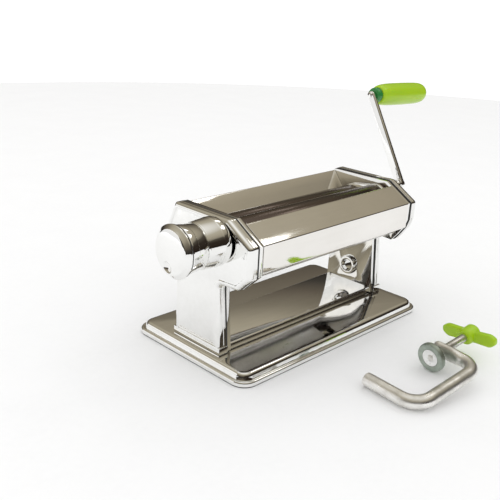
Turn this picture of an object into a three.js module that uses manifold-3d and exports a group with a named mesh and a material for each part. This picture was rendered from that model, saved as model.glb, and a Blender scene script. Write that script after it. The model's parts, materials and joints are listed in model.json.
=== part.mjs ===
// Hand-cranked pasta roller machine with its loose table clamp.
// Millimetres, +Z up, +X towards the crank, -Y towards the user.
import * as THREE from 'three';
import { mergeVertices } from 'three/addons/utils/BufferGeometryUtils.js';
import Module from 'manifold-3d';

const wasm = await Module();
wasm.setup();

// ---------------------------------------------------------------- driving dimensions

// base pan
const BASE_MARGIN = 11.1;
const BASE_DEPTH = 136;
const BASE_TOP = 10.4;
const BASE_RIM_HEIGHT = 5;
const BASE_STEP = 6;
const BASE_CORNER = 13;
const BASE_LIFT = 0.8;
const FOOT_RADIUS = 7;
const FOOT_INSET = 22;
const BASE_SCREW_RADIUS = 2;

// chassis: floor channel and side plates
const SIDE_SPACING = 188;
const SIDE_THICKNESS = 4;
const LEG_REAR = 27;
const LEG_FRONT_TOP = 23.5;
const LEG_FRONT_FOOT = 28;
const FLOOR_RISE = 6;
const FLOOR_DEPTH = 51;
const SHEET = 1.2;
const TIE_ROD_RADIUS = 4;
const TIE_SCREW_RADIUS = 2;

// head outline, measured up from the floor and out from the middle
const HEAD_TOP_ROOM = 5.03;
const HEAD_SLOPE_RISE = 15.7;
const HEAD_SLOPE_DEPTH = 25.7;
const HEAD_TOP_REAR = 30;
const HEAD_FRONT_ROOM = 24.2935;
const FRONT_LOWER = 83.9;
const HEAD_REAR = 46.5;
const REAR_LOWER = 87;
const UNDERSIDE_HALF = 45;
const UNDERSIDE = 71.5;
const COVER_DEPTH = 9.6;

// rollers and gears
const ROLLER_RADIUS = 12;
const ROLLER_GAP = 1.5;
const REAR_ROLLER_Y = 3.5;
const ROLLER_Z = 102;
const FRONT_RISE = 4.3;
const JOURNAL_RADIUS = 7;
const ROLLER_BORE = 4.5;
const ECCENTRICITY = 1.17;
const GEAR_TEETH = 12;
const GEAR_WIDTH = 5;
const GEAR_BACKLASH = 2.1;
const GEAR_ADDENDUM = 1.3;

// thickness knob
const KNOB_RADIUS = 19.3;
const KNOB_RIM_RADIUS = 20.6;
const KNOB_WAIST = 17.9;
const KNOB_FOOT_RADIUS = 19.5;
const CAP_DEPTH = 7.5;
const KNOB_LENGTH = 46;
const SPINDLE_RADIUS = 6;
const SETTINGS = 9;
const SETTING_ANGLE = 17.5;
const INDEX_RADIUS = 15;
const INDEX_PIN_RADIUS = 1.3;
const INDEX_LIFT = 1;
const KNOB_TRAVEL = 3;
const KNOB_CAVITY = 12;
const DIMPLE_RADIUS = 4.2;
const DIMPLE_DEPTH = 2.8;
const DIMPLE_Y = 2.7;
const DIMPLE_Z = -12.2;
const ROD_AXIS_RADIUS = 2.5;
const LEVER_CLEARANCE = 1.28;
const LEVER_TURN = 46;
const LINK_PIN_RADIUS = 1.5;

// crank
const CRANK_STANDOFF = 63.5;
const CRANK_LENGTH = 97.6;
const CRANK_ANGLE = -30.5;
const CRANK_LEAN = 2.2;
const ARM_THICKNESS = 4.5;
const ARM_WIDTH = 9.4;
const SHAFT_RADIUS = 4.5;
const STEM_RADIUS = 3;
const HEX_ACROSS = 7.6;
const HEX_DEPTH = 24;
const GRIP_LENGTH = 82;
const GRIP_RADIUS = 12;
const GRIP_PIN_RADIUS = 3;
const RIVET_RADIUS = 2.2;

// clamp, lying loose on the floor
const ROD_RADIUS = 5.75;
const ROD_ARM = 49.3;
const ROD_SPINE = 75.2;
const ROD_UPPER_ARM = 41.5;
const ROD_BEND = 15;
const SCREW_OFFSET = 33.9;
const SCREW_RADIUS = 3.5;
const PAD_RADIUS = 12.3;
const PAD_THICKNESS = 5.5;
const PAD_STANDOFF = 14;
const WING_STANDOFF = 37;
const WING_SPAN = 52;
const WING_RADIUS = 8;
const WING_TURN = -8;
const CLAMP_PLACE = [-42.7, -171.1, ROD_RADIUS + 0.1];
const CLAMP_TURN = [-0.2, -6.6, -4.6];
const SOCKET_Y = 2.5;
const SOCKET_Z = 31.5;

// clearances
const GAP = 0.3;
const RUNNING = 0.1;
const SEAT = 0.1;
const FAR = 200;

// ---------------------------------------------------------------- derived sizes

const degrees = THREE.MathUtils.degToRad;
const SIDE_INNER = SIDE_SPACING / 2;
const SIDE_OUTER = SIDE_INNER + SIDE_THICKNESS;
const COVER_INNER = SIDE_OUTER + GAP;
const COVER_OUTER = COVER_INNER + COVER_DEPTH;
const COVER_FACE_INNER = COVER_OUTER - SHEET;
const BASE_LENGTH = 2 * (COVER_OUTER + BASE_MARGIN);
const LEG_BOTTOM = BASE_TOP + GAP;
const CHANNEL_TOP = BASE_TOP + FLOOR_RISE;
const AXIS_SPACING = 2 * ROLLER_RADIUS + ROLLER_GAP;
const KNOB_Z = ROLLER_Z + FRONT_RISE;
const FRONT_ROLLER_Z = KNOB_Z + ECCENTRICITY;
const FRONT_ROLLER_Y = REAR_ROLLER_Y - Math.sqrt(AXIS_SPACING ** 2 - (FRONT_RISE + ECCENTRICITY) ** 2);
const HEAD_FRONT = ROLLER_RADIUS - FRONT_ROLLER_Y + HEAD_FRONT_ROOM;
const HEAD_TOP_FRONT = HEAD_FRONT - HEAD_SLOPE_DEPTH;
const HEAD_TOP = FRONT_ROLLER_Z + ROLLER_RADIUS + HEAD_TOP_ROOM;
const FRONT_UPPER = HEAD_TOP - HEAD_SLOPE_RISE;
const TIE_RODS = {
  front_lower: [16.7 - HEAD_FRONT, 80], rear_lower: [30, 79], front_upper: [9.7 - HEAD_FRONT, 106],
};
const ROLLER_HALF = SIDE_INNER - 6;
const GEAR_TIP = AXIS_SPACING / 2 + GEAR_ADDENDUM;
const LEVER_RADIUS = GEAR_TIP + ECCENTRICITY + LINK_PIN_RADIUS + LEVER_CLEARANCE;
const GEAR_START = SIDE_OUTER + 1.4;
const GEAR_END = GEAR_START + GEAR_WIDTH;
const SLEEVE_INNER = JOURNAL_RADIUS + RUNNING;
const SLEEVE_OUTER = SLEEVE_INNER + 1.1;
const BUSH_BORE = SLEEVE_OUTER + RUNNING;
const ECCENTRIC_OUTER = BUSH_BORE + ECCENTRICITY + 1.4;
const ECCENTRIC_HOLE = ECCENTRIC_OUTER + RUNNING;
const FARTHEST_SETTING = (SETTINGS - 1) / 2 * SETTING_ANGLE;
const ROUND = 32;
const SMALL_ROUND = 16;
const FOOT_HEIGHT = BASE_TOP - SHEET - 0.05;
const SCREW_X = SIDE_INNER - 22;
const SCREW_Y = FLOOR_DEPTH / 2 - 6;
const SCREW_PLACES = [[-SCREW_X, -SCREW_Y], [-SCREW_X, SCREW_Y], [SCREW_X, -SCREW_Y], [SCREW_X, SCREW_Y]];
const CRANK_HOLE = SHAFT_RADIUS + 1.5;
const SOCKET_OUTER = ROD_RADIUS + 2.2;
const REAR_BUSH_OUTER = JOURNAL_RADIUS + RUNNING + 2;
const KNOB_FACE = -COVER_OUTER - INDEX_LIFT - 0.2;
const KNOB_END = KNOB_FACE - KNOB_LENGTH;
const KNOB_WEB_OUTER = KNOB_FACE - 7;
const SPINDLE_END = KNOB_END + CAP_DEPTH + 1;

// the front axis rises and falls as it is adjusted, so the teeth are centred for its middle height
const MIDDLE_RISE = ECCENTRICITY * (1 + Math.cos(degrees(FARTHEST_SETTING))) / 2;
const MESH_TILT = Math.atan2(FRONT_RISE + MIDDLE_RISE, REAR_ROLLER_Y - FRONT_ROLLER_Y);

// lower front corner of the head: cut off on the knob side, rounder on the crank side
const CHAMFERED_FRONT = [[-HEAD_FRONT, FRONT_LOWER], [-UNDERSIDE_HALF, UNDERSIDE]];
const ROUNDED_FRONT = [
  [-HEAD_FRONT, FRONT_LOWER + 9], [-HEAD_FRONT + 2.5, FRONT_LOWER + 1], [-HEAD_FRONT + 8, FRONT_LOWER - 7],
  [-UNDERSIDE_HALF + 1, UNDERSIDE - 1.6],
];

// ---------------------------------------------------------------- materials

const metal = (color, roughness) => new THREE.MeshStandardMaterial({ color, roughness, metalness: 1 });
const plastic = (color, roughness) => new THREE.MeshStandardMaterial({ color, roughness, metalness: 0 });
const CHROME = metal(0xe4e3e0, 0.06);
const CHROME_DARK = metal(0xbdb7ac, 0.12);
const STEEL = metal(0xb5b3af, 0.3);
const BRONZE = metal(0xa9814a, 0.35);
const ZINC = metal(0xc2c0b8, 0.28);
const PAD_GREY = metal(0xa3aca0, 0.45);
const LIME = plastic(0x9cc400, 0.35);
const GREEN = plastic(0x1f6b2c, 0.4);
const NYLON = plastic(0xe9e6da, 0.5);
const RUBBER = plastic(0x202020, 0.85);

// ---------------------------------------------------------------- solids

function toSolid(geometry) {
  geometry.deleteAttribute('normal');
  geometry.deleteAttribute('uv');
  const merged = mergeVertices(geometry, 1e-4);
  const position = merged.attributes.position;
  const triangles = Uint32Array.from(merged.index.array);
  if (signedVolume(position, triangles) < 0) {
    for (let i = 0; i < triangles.length; i += 3) {
      [triangles[i], triangles[i + 1]] = [triangles[i + 1], triangles[i]];
    }
  }
  const mesh = new wasm.Mesh({
    numProp: 3,
    vertProperties: Float32Array.from(position.array),
    triVerts: triangles,
  });
  mesh.merge();
  return new wasm.Manifold(mesh);
}

function signedVolume(position, triangles) {
  const [a, b, c] = [0, 1, 2].map(() => new THREE.Vector3());
  let sum = 0;
  for (let i = 0; i < triangles.length; i += 3) {
    a.fromBufferAttribute(position, triangles[i]);
    b.fromBufferAttribute(position, triangles[i + 1]);
    c.fromBufferAttribute(position, triangles[i + 2]);
    sum += a.dot(b.cross(c));
  }
  return sum;
}

function toGeometry(solid) {
  const mesh = solid.getMesh();
  const geometry = new THREE.BufferGeometry();
  geometry.setAttribute('position', new THREE.BufferAttribute(Float32Array.from(mesh.vertProperties), 3));
  geometry.setIndex(new THREE.BufferAttribute(Uint32Array.from(mesh.triVerts), 1));
  geometry.computeVertexNormals();
  return geometry;
}

const cut = (solid, ...tools) => tools.reduce((left, tool) => left.subtract(tool), solid);
const join = (solid, ...more) => more.reduce((sum, next) => sum.add(next), solid);

// sketch plane (y, z) pushed along X
const SKETCH_TO_X = new THREE.Matrix4().makeBasis(
  new THREE.Vector3(0, 1, 0), new THREE.Vector3(0, 0, 1), new THREE.Vector3(1, 0, 0));

function slabX(shape, from, to, curveSegments = 12) {
  const geometry = new THREE.ExtrudeGeometry(shape, { depth: to - from, bevelEnabled: false, curveSegments });
  geometry.applyMatrix4(SKETCH_TO_X);
  geometry.translate(from, 0, 0);
  return toSolid(geometry);
}

function slabZ(shape, from, to, curveSegments = 7) {
  const geometry = new THREE.ExtrudeGeometry(shape, { depth: to - from, bevelEnabled: false, curveSegments });
  geometry.translate(0, 0, from);
  return toSolid(geometry);
}

// profile of [x, radius] pairs turned about the X axis
const LATHE_TO_X = new THREE.Matrix4().makeBasis(
  new THREE.Vector3(0, 1, 0), new THREE.Vector3(1, 0, 0), new THREE.Vector3(0, 0, -1));

function turnX(profile, segments = ROUND) {
  const points = profile.map(([x, radius]) => new THREE.Vector2(radius, x));
  const geometry = new THREE.LatheGeometry(points, segments);
  geometry.applyMatrix4(LATHE_TO_X);
  return toSolid(geometry);
}

function rodX(radius, from, to, segments = ROUND) {
  return turnX([[from, 0], [from, radius], [to, radius], [to, 0]], segments);
}

function tubeX(inner, outer, from, to, segments = ROUND) {
  return turnX([[from, inner], [from, outer], [to, outer], [to, inner], [from, inner]], segments);
}

function hexX(across, from, to) {
  return rodX(across / 2 / Math.cos(Math.PI / 6), from, to, 6);
}

function boxAt(from, to) {
  const size = to.map((value, i) => value - from[i]);
  const geometry = new THREE.BoxGeometry(...size);
  geometry.translate(...from.map((value, i) => value + size[i] / 2));
  return toSolid(geometry);
}

function moved(solid, x, y, z) {
  return solid.translate([x, y, z]);
}

function polygon(points) {
  return new THREE.Shape(points.map(([u, v]) => new THREE.Vector2(u, v)));
}

function roundedRectangle(width, height, radius) {
  const [w, h] = [width / 2, height / 2];
  const shape = new THREE.Shape();
  shape.moveTo(-w + radius, -h);
  shape.lineTo(w - radius, -h);
  shape.absarc(w - radius, -h + radius, radius, -Math.PI / 2, 0);
  shape.lineTo(w, h - radius);
  shape.absarc(w - radius, h - radius, radius, 0, Math.PI / 2);
  shape.lineTo(-w + radius, h);
  shape.absarc(-w + radius, h - radius, radius, Math.PI / 2, Math.PI);
  shape.lineTo(-w, -h + radius);
  shape.absarc(-w + radius, -h + radius, radius, Math.PI, 1.5 * Math.PI);
  return shape;
}

// moves every edge of a counter-clockwise outline inwards by the same distance
function inset(points, distance) {
  return points.map((point, i) => {
    const before = points[(i + points.length - 1) % points.length];
    const after = points[(i + 1) % points.length];
    const first = new THREE.Vector2(point[0] - before[0], point[1] - before[1]).normalize();
    const second = new THREE.Vector2(after[0] - point[0], after[1] - point[1]).normalize();
    const bisector = new THREE.Vector2(-first.y - second.y, first.x + second.x).normalize();
    const reach = distance / bisector.dot(new THREE.Vector2(-first.y, first.x));
    return [point[0] + bisector.x * reach, point[1] + bisector.y * reach];
  });
}

// a bent sheet: the line thickened to one side, as a closed outline
function sheetOutline(line, thickness) {
  const offset = line.map((point, i) => {
    const before = line[Math.max(i - 1, 0)];
    const after = line[Math.min(i + 1, line.length - 1)];
    const incoming = i > 0 ? [point[0] - before[0], point[1] - before[1]] : null;
    const outgoing = i < line.length - 1 ? [after[0] - point[0], after[1] - point[1]] : null;
    const first = new THREE.Vector2(...(incoming ?? outgoing)).normalize();
    const second = new THREE.Vector2(...(outgoing ?? incoming)).normalize();
    const bisector = new THREE.Vector2(-first.y - second.y, first.x + second.x).normalize();
    const reach = thickness / bisector.dot(new THREE.Vector2(-first.y, first.x));
    return [point[0] + bisector.x * reach, point[1] + bisector.y * reach];
  });
  return [...line, ...offset.reverse()];
}

// ---------------------------------------------------------------- scene helpers

const model = new THREE.Group();

function group(parent, x = 0, y = 0, z = 0, turn = [0, 0, 0]) {
  const made = new THREE.Group();
  made.position.set(x, y, z);
  made.rotation.set(...turn.map(degrees));
  parent.add(made);
  return made;
}

function piece(name, solid, material, parent = model, x = 0, y = 0, z = 0) {
  const mesh = new THREE.Mesh(toGeometry(solid), material);
  mesh.name = name;
  mesh.position.set(x, y, z);
  parent.add(mesh);
  return mesh;
}

const SIDES = [['left', -1], ['right', 1]];
const mirrored = (solid, side) => (side < 0 ? solid.mirror([1, 0, 0]) : solid);

// ---------------------------------------------------------------- base

function buildBase() {
  const rim = slabZ(roundedRectangle(BASE_LENGTH, BASE_DEPTH, BASE_CORNER), BASE_LIFT, BASE_RIM_HEIGHT);
  const topLength = BASE_LENGTH - 2 * BASE_STEP;
  const topDepth = BASE_DEPTH - 2 * BASE_STEP;
  const topCorner = BASE_CORNER - BASE_STEP / 2;
  const top = slabZ(roundedRectangle(topLength, topDepth, topCorner), BASE_RIM_HEIGHT - SHEET, BASE_TOP);
  const rimHollow = slabZ(
    roundedRectangle(BASE_LENGTH - 2 * SHEET, BASE_DEPTH - 2 * SHEET, BASE_CORNER - SHEET),
    BASE_LIFT - 1, BASE_RIM_HEIGHT - SHEET);
  const topHollow = slabZ(
    roundedRectangle(topLength - 2 * SHEET, topDepth - 2 * SHEET, topCorner - SHEET),
    BASE_RIM_HEIGHT - 2 * SHEET, BASE_TOP - SHEET);
  const holes = SCREW_PLACES.map(([x, y]) => screwHole(x, y));
  piece('base_plate', cut(join(rim, top), rimHollow, topHollow, ...holes), CHROME);

  const corners = [
    ['front_left', -1, -1], ['front_right', 1, -1], ['rear_left', -1, 1], ['rear_right', 1, 1],
  ];
  const foot = turnZ([
    [0, 0], [FOOT_RADIUS - 1, 0], [FOOT_RADIUS, 1], [FOOT_RADIUS, FOOT_HEIGHT], [0, FOOT_HEIGHT],
  ]);
  for (const [name, x, y] of corners) {
    piece(`foot_${name}`, foot, RUBBER, model,
      x * (BASE_LENGTH / 2 - FOOT_INSET), y * (BASE_DEPTH / 2 - FOOT_INSET), 0);
  }
}

function turnZ(profile, segments = 16) {
  const points = profile.map(([radius, z]) => new THREE.Vector2(radius, z));
  const geometry = new THREE.LatheGeometry(points, segments);
  geometry.rotateX(Math.PI / 2);
  return toSolid(geometry);
}

function screwHole(x, y) {
  const reach = CHANNEL_TOP - SHEET;
  const radius = BASE_SCREW_RADIUS + GAP;
  return moved(turnZ([[0, 0], [radius, 0], [radius, reach], [0, reach]]), x, y, 0);
}

function buildChassisFloor() {
  const half = FLOOR_DEPTH / 2;
  const toe = 11;
  const bottom = BASE_TOP + GAP;
  const outline = [
    [-half + toe, bottom], [-half + toe, bottom + SHEET], [-half + SHEET, bottom + SHEET],
    [-half + SHEET, CHANNEL_TOP - SHEET], [half - SHEET, CHANNEL_TOP - SHEET], [half - SHEET, bottom + SHEET],
    [half - toe, bottom + SHEET], [half - toe, bottom], [half, bottom], [half, CHANNEL_TOP - 1],
    [half - 1, CHANNEL_TOP], [-half + 1, CHANNEL_TOP], [-half, CHANNEL_TOP - 1], [-half, bottom],
  ];
  const channel = slabX(polygon(outline), -SIDE_INNER + GAP, SIDE_INNER - GAP);
  const floor = cut(channel, ...SCREW_PLACES.map(([x, y]) => screwHole(x, y)));
  piece('chassis_floor', floor, CHROME);

  const headTop = BASE_TOP - SHEET - 0.1;
  const nutBottom = bottom + SHEET + 0.1;
  const nutTop = nutBottom + 2.2;
  const screw = turnZ([
    [0, headTop - 2.2], [3.2, headTop - 2.2], [4, headTop - 1.2], [4, headTop],
    [BASE_SCREW_RADIUS, headTop], [BASE_SCREW_RADIUS, nutTop + 0.6], [0, nutTop + 0.6],
  ], 16);
  const bore = BASE_SCREW_RADIUS + SEAT;
  const hexagon = 3.6;
  const nutBody = turnZ([[0, nutBottom], [hexagon, nutBottom], [hexagon, nutTop], [0, nutTop]], 6);
  const nut = cut(nutBody, turnZ([[0, 0], [bore, 0], [bore, HEAD_TOP], [0, HEAD_TOP]], 16));
  SCREW_PLACES.forEach(([x, y], i) => {
    piece(`base_screw_${i + 1}`, screw, STEEL, model, x, y, 0);
    piece(`base_nut_${i + 1}`, nut, STEEL, model, x, y, 0);
  });
}

// ---------------------------------------------------------------- side plates and covers

// whole side outline, counter-clockwise seen from +X: leg, rear edge, top, front edge
function sideOutline(lowerFront) {
  return [
    [-LEG_FRONT_FOOT, LEG_BOTTOM], [LEG_REAR + 1, LEG_BOTTOM],
    [LEG_REAR, UNDERSIDE - 4], [LEG_REAR + 3, UNDERSIDE - 0.8], [HEAD_REAR - 6, UNDERSIDE + 2],
    [HEAD_REAR, REAR_LOWER], [HEAD_TOP_REAR, HEAD_TOP], [-HEAD_TOP_FRONT, HEAD_TOP],
    [-HEAD_FRONT, FRONT_UPPER], ...lowerFront, [-LEG_FRONT_TOP - 3, UNDERSIDE - 0.8],
    [-LEG_FRONT_TOP, UNDERSIDE - 4],
  ];
}

// a pressed mark beside the knob that its setting is read against
function indexMark() {
  const mark = turnX([
    [COVER_OUTER - 0.6, 0], [COVER_OUTER - 0.6, 2.2], [COVER_OUTER, 2.2], [COVER_OUTER + 1, 1.5],
    [COVER_OUTER + 1, 0],
  ], SMALL_ROUND);
  return moved(mark, 0, REAR_ROLLER_Y, ROLLER_Z + 12);
}

function buildSides() {
  for (const [name, side] of SIDES) {
    const outline = sideOutline(side > 0 ? ROUNDED_FRONT : CHAMFERED_FRONT);
    const plateOutline = polygon(inset(outline, 0.6));
    const holes = [
      moved(rodX(ECCENTRIC_HOLE, 0, COVER_OUTER), 0, FRONT_ROLLER_Y, KNOB_Z),
      moved(rodX(REAR_BUSH_OUTER + SEAT, 0, COVER_OUTER), 0, REAR_ROLLER_Y, ROLLER_Z),
      ...Object.values(TIE_RODS).map(([y, z]) => (
        moved(rodX(TIE_SCREW_RADIUS + GAP, 0, COVER_OUTER, SMALL_ROUND), 0, y, z))),
    ];
    if (side > 0) {
      holes.push(moved(rodX(SOCKET_OUTER + SEAT, 0, COVER_OUTER), 0, SOCKET_Y, SOCKET_Z));
    }
    const plate = cut(slabX(plateOutline, SIDE_INNER, SIDE_OUTER), ...holes);
    piece(`side_plate_${name}`, mirrored(plate, side), CHROME);

    const shell = cut(
      slabX(polygon(outline), COVER_INNER, COVER_OUTER),
      slabX(polygon(inset(outline, SHEET)), COVER_INNER - 1, COVER_FACE_INNER),
      ...coverHoles(side),
    );
    const cover = side < 0 ? join(shell, indexMark()) : shell;
    piece(`end_cover_${name}`, mirrored(cover, side), CHROME);
  }
}

function coverHoles(side) {
  if (side > 0) {
    return [
      moved(rodX(CRANK_HOLE, 0, FAR, 32), 0, REAR_ROLLER_Y, ROLLER_Z),
      moved(rodX(SOCKET_OUTER + SEAT, 0, FAR, 32), 0, SOCKET_Y, SOCKET_Z),
    ];
  }
  const middle = (SETTINGS - 1) / 2;
  const indexHoles = Array.from({ length: SETTINGS }, (_, i) => {
    const angle = degrees((i - middle) * SETTING_ANGLE);
    const hole = rodX(INDEX_PIN_RADIUS + GAP, 0, FAR, SMALL_ROUND);
    const y = FRONT_ROLLER_Y - INDEX_RADIUS * Math.sin(angle);
    return moved(hole, 0, y, KNOB_Z + INDEX_RADIUS * Math.cos(angle));
  });
  return [moved(rodX(SPINDLE_RADIUS + GAP, 0, FAR, 32), 0, FRONT_ROLLER_Y, KNOB_Z), ...indexHoles];
}

function buildTieRods() {
  for (const [name, [y, z]] of Object.entries(TIE_RODS)) {
    const rodHalf = SIDE_INNER - 0.1;
    const bore = rodX(TIE_SCREW_RADIUS + SEAT, rodHalf - 10, FAR, SMALL_ROUND);
    const bores = SIDES.map(([, side]) => mirrored(bore, side));
    const rod = rodX(TIE_ROD_RADIUS, -rodHalf, rodHalf, 24);
    piece(`tie_rod_${name}`, cut(rod, ...bores), STEEL, model, 0, y, z);
    for (const [sideName, side] of SIDES) {
      const face = SIDE_OUTER + 0.1;
      const screw = turnX([
        [rodHalf - 8, 0], [rodHalf - 8, TIE_SCREW_RADIUS], [face, TIE_SCREW_RADIUS], [face, 4],
        [face + 1.4, 4], [face + 2.4, 2.8], [face + 2.4, 0],
      ], SMALL_ROUND);
      piece(`tie_screw_${name}_${sideName}`, mirrored(screw, side), STEEL, model, 0, y, z);
    }
  }
}

function buildClampSocket() {
  const bore = ROD_RADIUS + 0.4;
  const collar = turnX([
    [SIDE_INNER - 2.4, bore + 0.6], [SIDE_INNER - 2.4, SOCKET_OUTER + 1],
    [SIDE_INNER - 0.1, SOCKET_OUTER + 1.8], [SIDE_INNER - 0.1, SOCKET_OUTER],
    [COVER_OUTER + 0.3, SOCKET_OUTER], [COVER_OUTER + 1, SOCKET_OUTER - 0.6],
    [COVER_OUTER + 1, bore], [SIDE_INNER - 1.8, bore], [SIDE_INNER - 2.4, bore + 0.6],
  ], 32);
  piece('clamp_socket', collar, CHROME, model, 0, SOCKET_Y, SOCKET_Z);
}

// ---------------------------------------------------------------- sheets over the rollers

function buildSheets() {
  const half = SIDE_INNER - GAP;
  const ridge = 2;
  const front = [
    [-HEAD_FRONT + 6, FRONT_LOWER + 0.5], [-HEAD_FRONT + 1, FRONT_LOWER + 1.5],
    [-HEAD_FRONT, FRONT_LOWER + 3], [-HEAD_FRONT, FRONT_UPPER],
    [-HEAD_TOP_FRONT - 6.2, HEAD_TOP - 3.8], [-HEAD_TOP_FRONT - 4.5, HEAD_TOP - 3.8],
    [FRONT_ROLLER_Y - ROLLER_RADIUS - 2.6, KNOB_Z + 6],
  ];
  const frontSheet = slabX(polygon(sheetOutline(front.reverse(), SHEET * 0.7)), -half, half);
  piece('front_cover', frontSheet, CHROME_DARK);

  const rearLip = REAR_ROLLER_Y + ROLLER_RADIUS + 2;
  const rear = [
    [rearLip, ROLLER_Z + 5.8], [rearLip + 5.9, ROLLER_Z + 13.5],
    [HEAD_TOP_REAR - 1, HEAD_TOP - ridge], [HEAD_TOP_REAR + 0.6, HEAD_TOP - ridge - 0.4],
    [HEAD_REAR - 0.6, REAR_LOWER + 1], [HEAD_REAR - 5, REAR_LOWER - 2],
  ];
  const rearSheet = slabX(polygon(sheetOutline(rear.reverse(), SHEET * 0.7)), -half, half);
  piece('rear_cover', rearSheet, CHROME_DARK);
}

function buildEndGuides() {
  const hole = JOURNAL_RADIUS + 2 * ECCENTRICITY + GAP;
  const reach = ROLLER_RADIUS + 1;
  const rise = hole + 2.86;
  const shoulder = hole - 3.64;
  const outline = [
    [FRONT_ROLLER_Y - reach, KNOB_Z + 3], [REAR_ROLLER_Y + reach, ROLLER_Z + 3],
    [REAR_ROLLER_Y + reach, ROLLER_Z + shoulder], [REAR_ROLLER_Y + 3, ROLLER_Z + rise],
    [FRONT_ROLLER_Y + 1, KNOB_Z + rise], [FRONT_ROLLER_Y - reach, KNOB_Z + shoulder],
  ];
  for (const [name, side] of SIDES) {
    const blank = slabX(polygon(outline), ROLLER_HALF + 0.4, SIDE_INNER - 0.1);
    const frontJournal = rodX(hole, 0, FAR, 32);
    const rearJournal = rodX(JOURNAL_RADIUS + GAP, 0, FAR, 32);
    const guide = cut(blank, moved(frontJournal, 0, FRONT_ROLLER_Y, KNOB_Z),
      moved(rearJournal, 0, REAR_ROLLER_Y, ROLLER_Z));
    piece(`end_guide_${name}`, mirrored(guide, side), CHROME);
  }
}

function buildScrapers() {
  const length = ROLLER_HALF - 4;
  const edgeRadius = ROLLER_RADIUS + ECCENTRICITY + 0.4;
  const edgeAngle = degrees(20);
  const sets = [
    ['front', FRONT_ROLLER_Y, KNOB_Z, -1, TIE_RODS.front_lower],
    ['rear', REAR_ROLLER_Y, ROLLER_Z, 1, TIE_RODS.rear_lower],
  ];
  for (const [name, axisY, axisZ, outward, [rodY, rodZ]] of sets) {
    const edge = [
      axisY + outward * edgeRadius * Math.sin(edgeAngle), axisZ - edgeRadius * Math.cos(edgeAngle),
    ];
    const seat = [rodY - outward * 1.5, rodZ + 4.3];
    const line = outward > 0 ? [seat, edge] : [edge, seat];
    const rest = outward > 0 ? [seat[0] + 6, seat[1]] : [seat[0] - 6, seat[1]];
    const bent = outward > 0 ? [rest, ...line] : [...line, rest];
    const blade = slabX(polygon(sheetOutline(bent.reverse(), 0.8)), -length, length);
    piece(`scraper_${name}`, blade, STEEL);
  }
}

// ---------------------------------------------------------------- rollers, bushes and gears

function gearShape(toothAtAngle) {
  const pitchRadius = AXIS_SPACING / 2;
  const root = AXIS_SPACING - ECCENTRICITY - GEAR_TIP - 0.35;
  const step = 2 * Math.PI / GEAR_TEETH;
  const halfPitch = (step / 2 - GEAR_BACKLASH / 2 / pitchRadius) / 2;
  const halfTip = halfPitch * 0.45;
  const halfRoot = halfPitch * 1.5;
  const corners = [[root, -halfRoot], [pitchRadius, -halfPitch], [GEAR_TIP, -halfTip], [GEAR_TIP, halfTip],
    [pitchRadius, halfPitch], [root, halfRoot]];
  const points = [];
  for (let tooth = 0; tooth < GEAR_TEETH; tooth += 1) {
    const middle = toothAtAngle + tooth * step;
    for (const [radius, offset] of corners) {
      points.push([radius * Math.cos(middle + offset), radius * Math.sin(middle + offset)]);
    }
  }
  return polygon(points);
}

function buildRearRoller() {
  const axis = group(model, 0, REAR_ROLLER_Y, ROLLER_Z);
  const leftEnd = -SIDE_OUTER - 0.8;
  const rightEnd = COVER_FACE_INNER - 0.4;
  const body = turnX([
    [leftEnd, 0], [leftEnd, JOURNAL_RADIUS - 0.8], [leftEnd + 0.8, JOURNAL_RADIUS],
    [-ROLLER_HALF, JOURNAL_RADIUS], [-ROLLER_HALF, ROLLER_RADIUS],
    [ROLLER_HALF, ROLLER_RADIUS], [ROLLER_HALF, JOURNAL_RADIUS],
    [rightEnd, JOURNAL_RADIUS], [rightEnd, 0],
  ]);
  const socket = hexX(HEX_ACROSS + 0.6, rightEnd - HEX_DEPTH - 2, rightEnd + 1);
  piece('rear_roller', cut(body, socket), CHROME, axis);
  const gear = slabX(gearShape(Math.PI - MESH_TILT), GEAR_START, GEAR_END);
  piece('drive_gear', cut(gear, rodX(JOURNAL_RADIUS + SEAT, 0, FAR)), STEEL, axis);

  const bush = turnX([
    [SIDE_INNER, JOURNAL_RADIUS + RUNNING], [SIDE_INNER, REAR_BUSH_OUTER],
    [SIDE_OUTER + 0.1, REAR_BUSH_OUTER], [SIDE_OUTER + 0.1, REAR_BUSH_OUTER + 2],
    [SIDE_OUTER + 0.9, REAR_BUSH_OUTER + 2],
    [SIDE_OUTER + 0.9, JOURNAL_RADIUS + RUNNING], [SIDE_INNER, JOURNAL_RADIUS + RUNNING],
  ]);
  for (const [name, side] of SIDES) {
    piece(`rear_bush_${name}`, mirrored(bush, side), BRONZE, axis);
  }
}

function buildFrontRoller() {
  const axis = group(model, 0, FRONT_ROLLER_Y, FRONT_ROLLER_Z);
  const leftEnd = -SIDE_OUTER - 0.2;
  const body = turnX([
    [leftEnd, ROLLER_BORE], [leftEnd, JOURNAL_RADIUS], [-ROLLER_HALF, JOURNAL_RADIUS],
    [-ROLLER_HALF, ROLLER_RADIUS], [ROLLER_HALF, ROLLER_RADIUS], [ROLLER_HALF, JOURNAL_RADIUS],
    [GEAR_END, JOURNAL_RADIUS], [GEAR_END, ROLLER_BORE], [leftEnd, ROLLER_BORE],
  ]);
  piece('front_roller', body, CHROME, axis);
  const halfTooth = Math.PI / GEAR_TEETH;
  const gear = slabX(gearShape(halfTooth - MESH_TILT), GEAR_START, GEAR_END);
  piece('front_gear', cut(gear, rodX(JOURNAL_RADIUS + SEAT, 0, FAR)), STEEL, axis);
  for (const [name, side] of SIDES) {
    piece(`bearing_sleeve_${name}`, mirrored(tubeX(SLEEVE_INNER, SLEEVE_OUTER, SIDE_INNER, SIDE_OUTER), side),
      NYLON, axis);
  }
}

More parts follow.
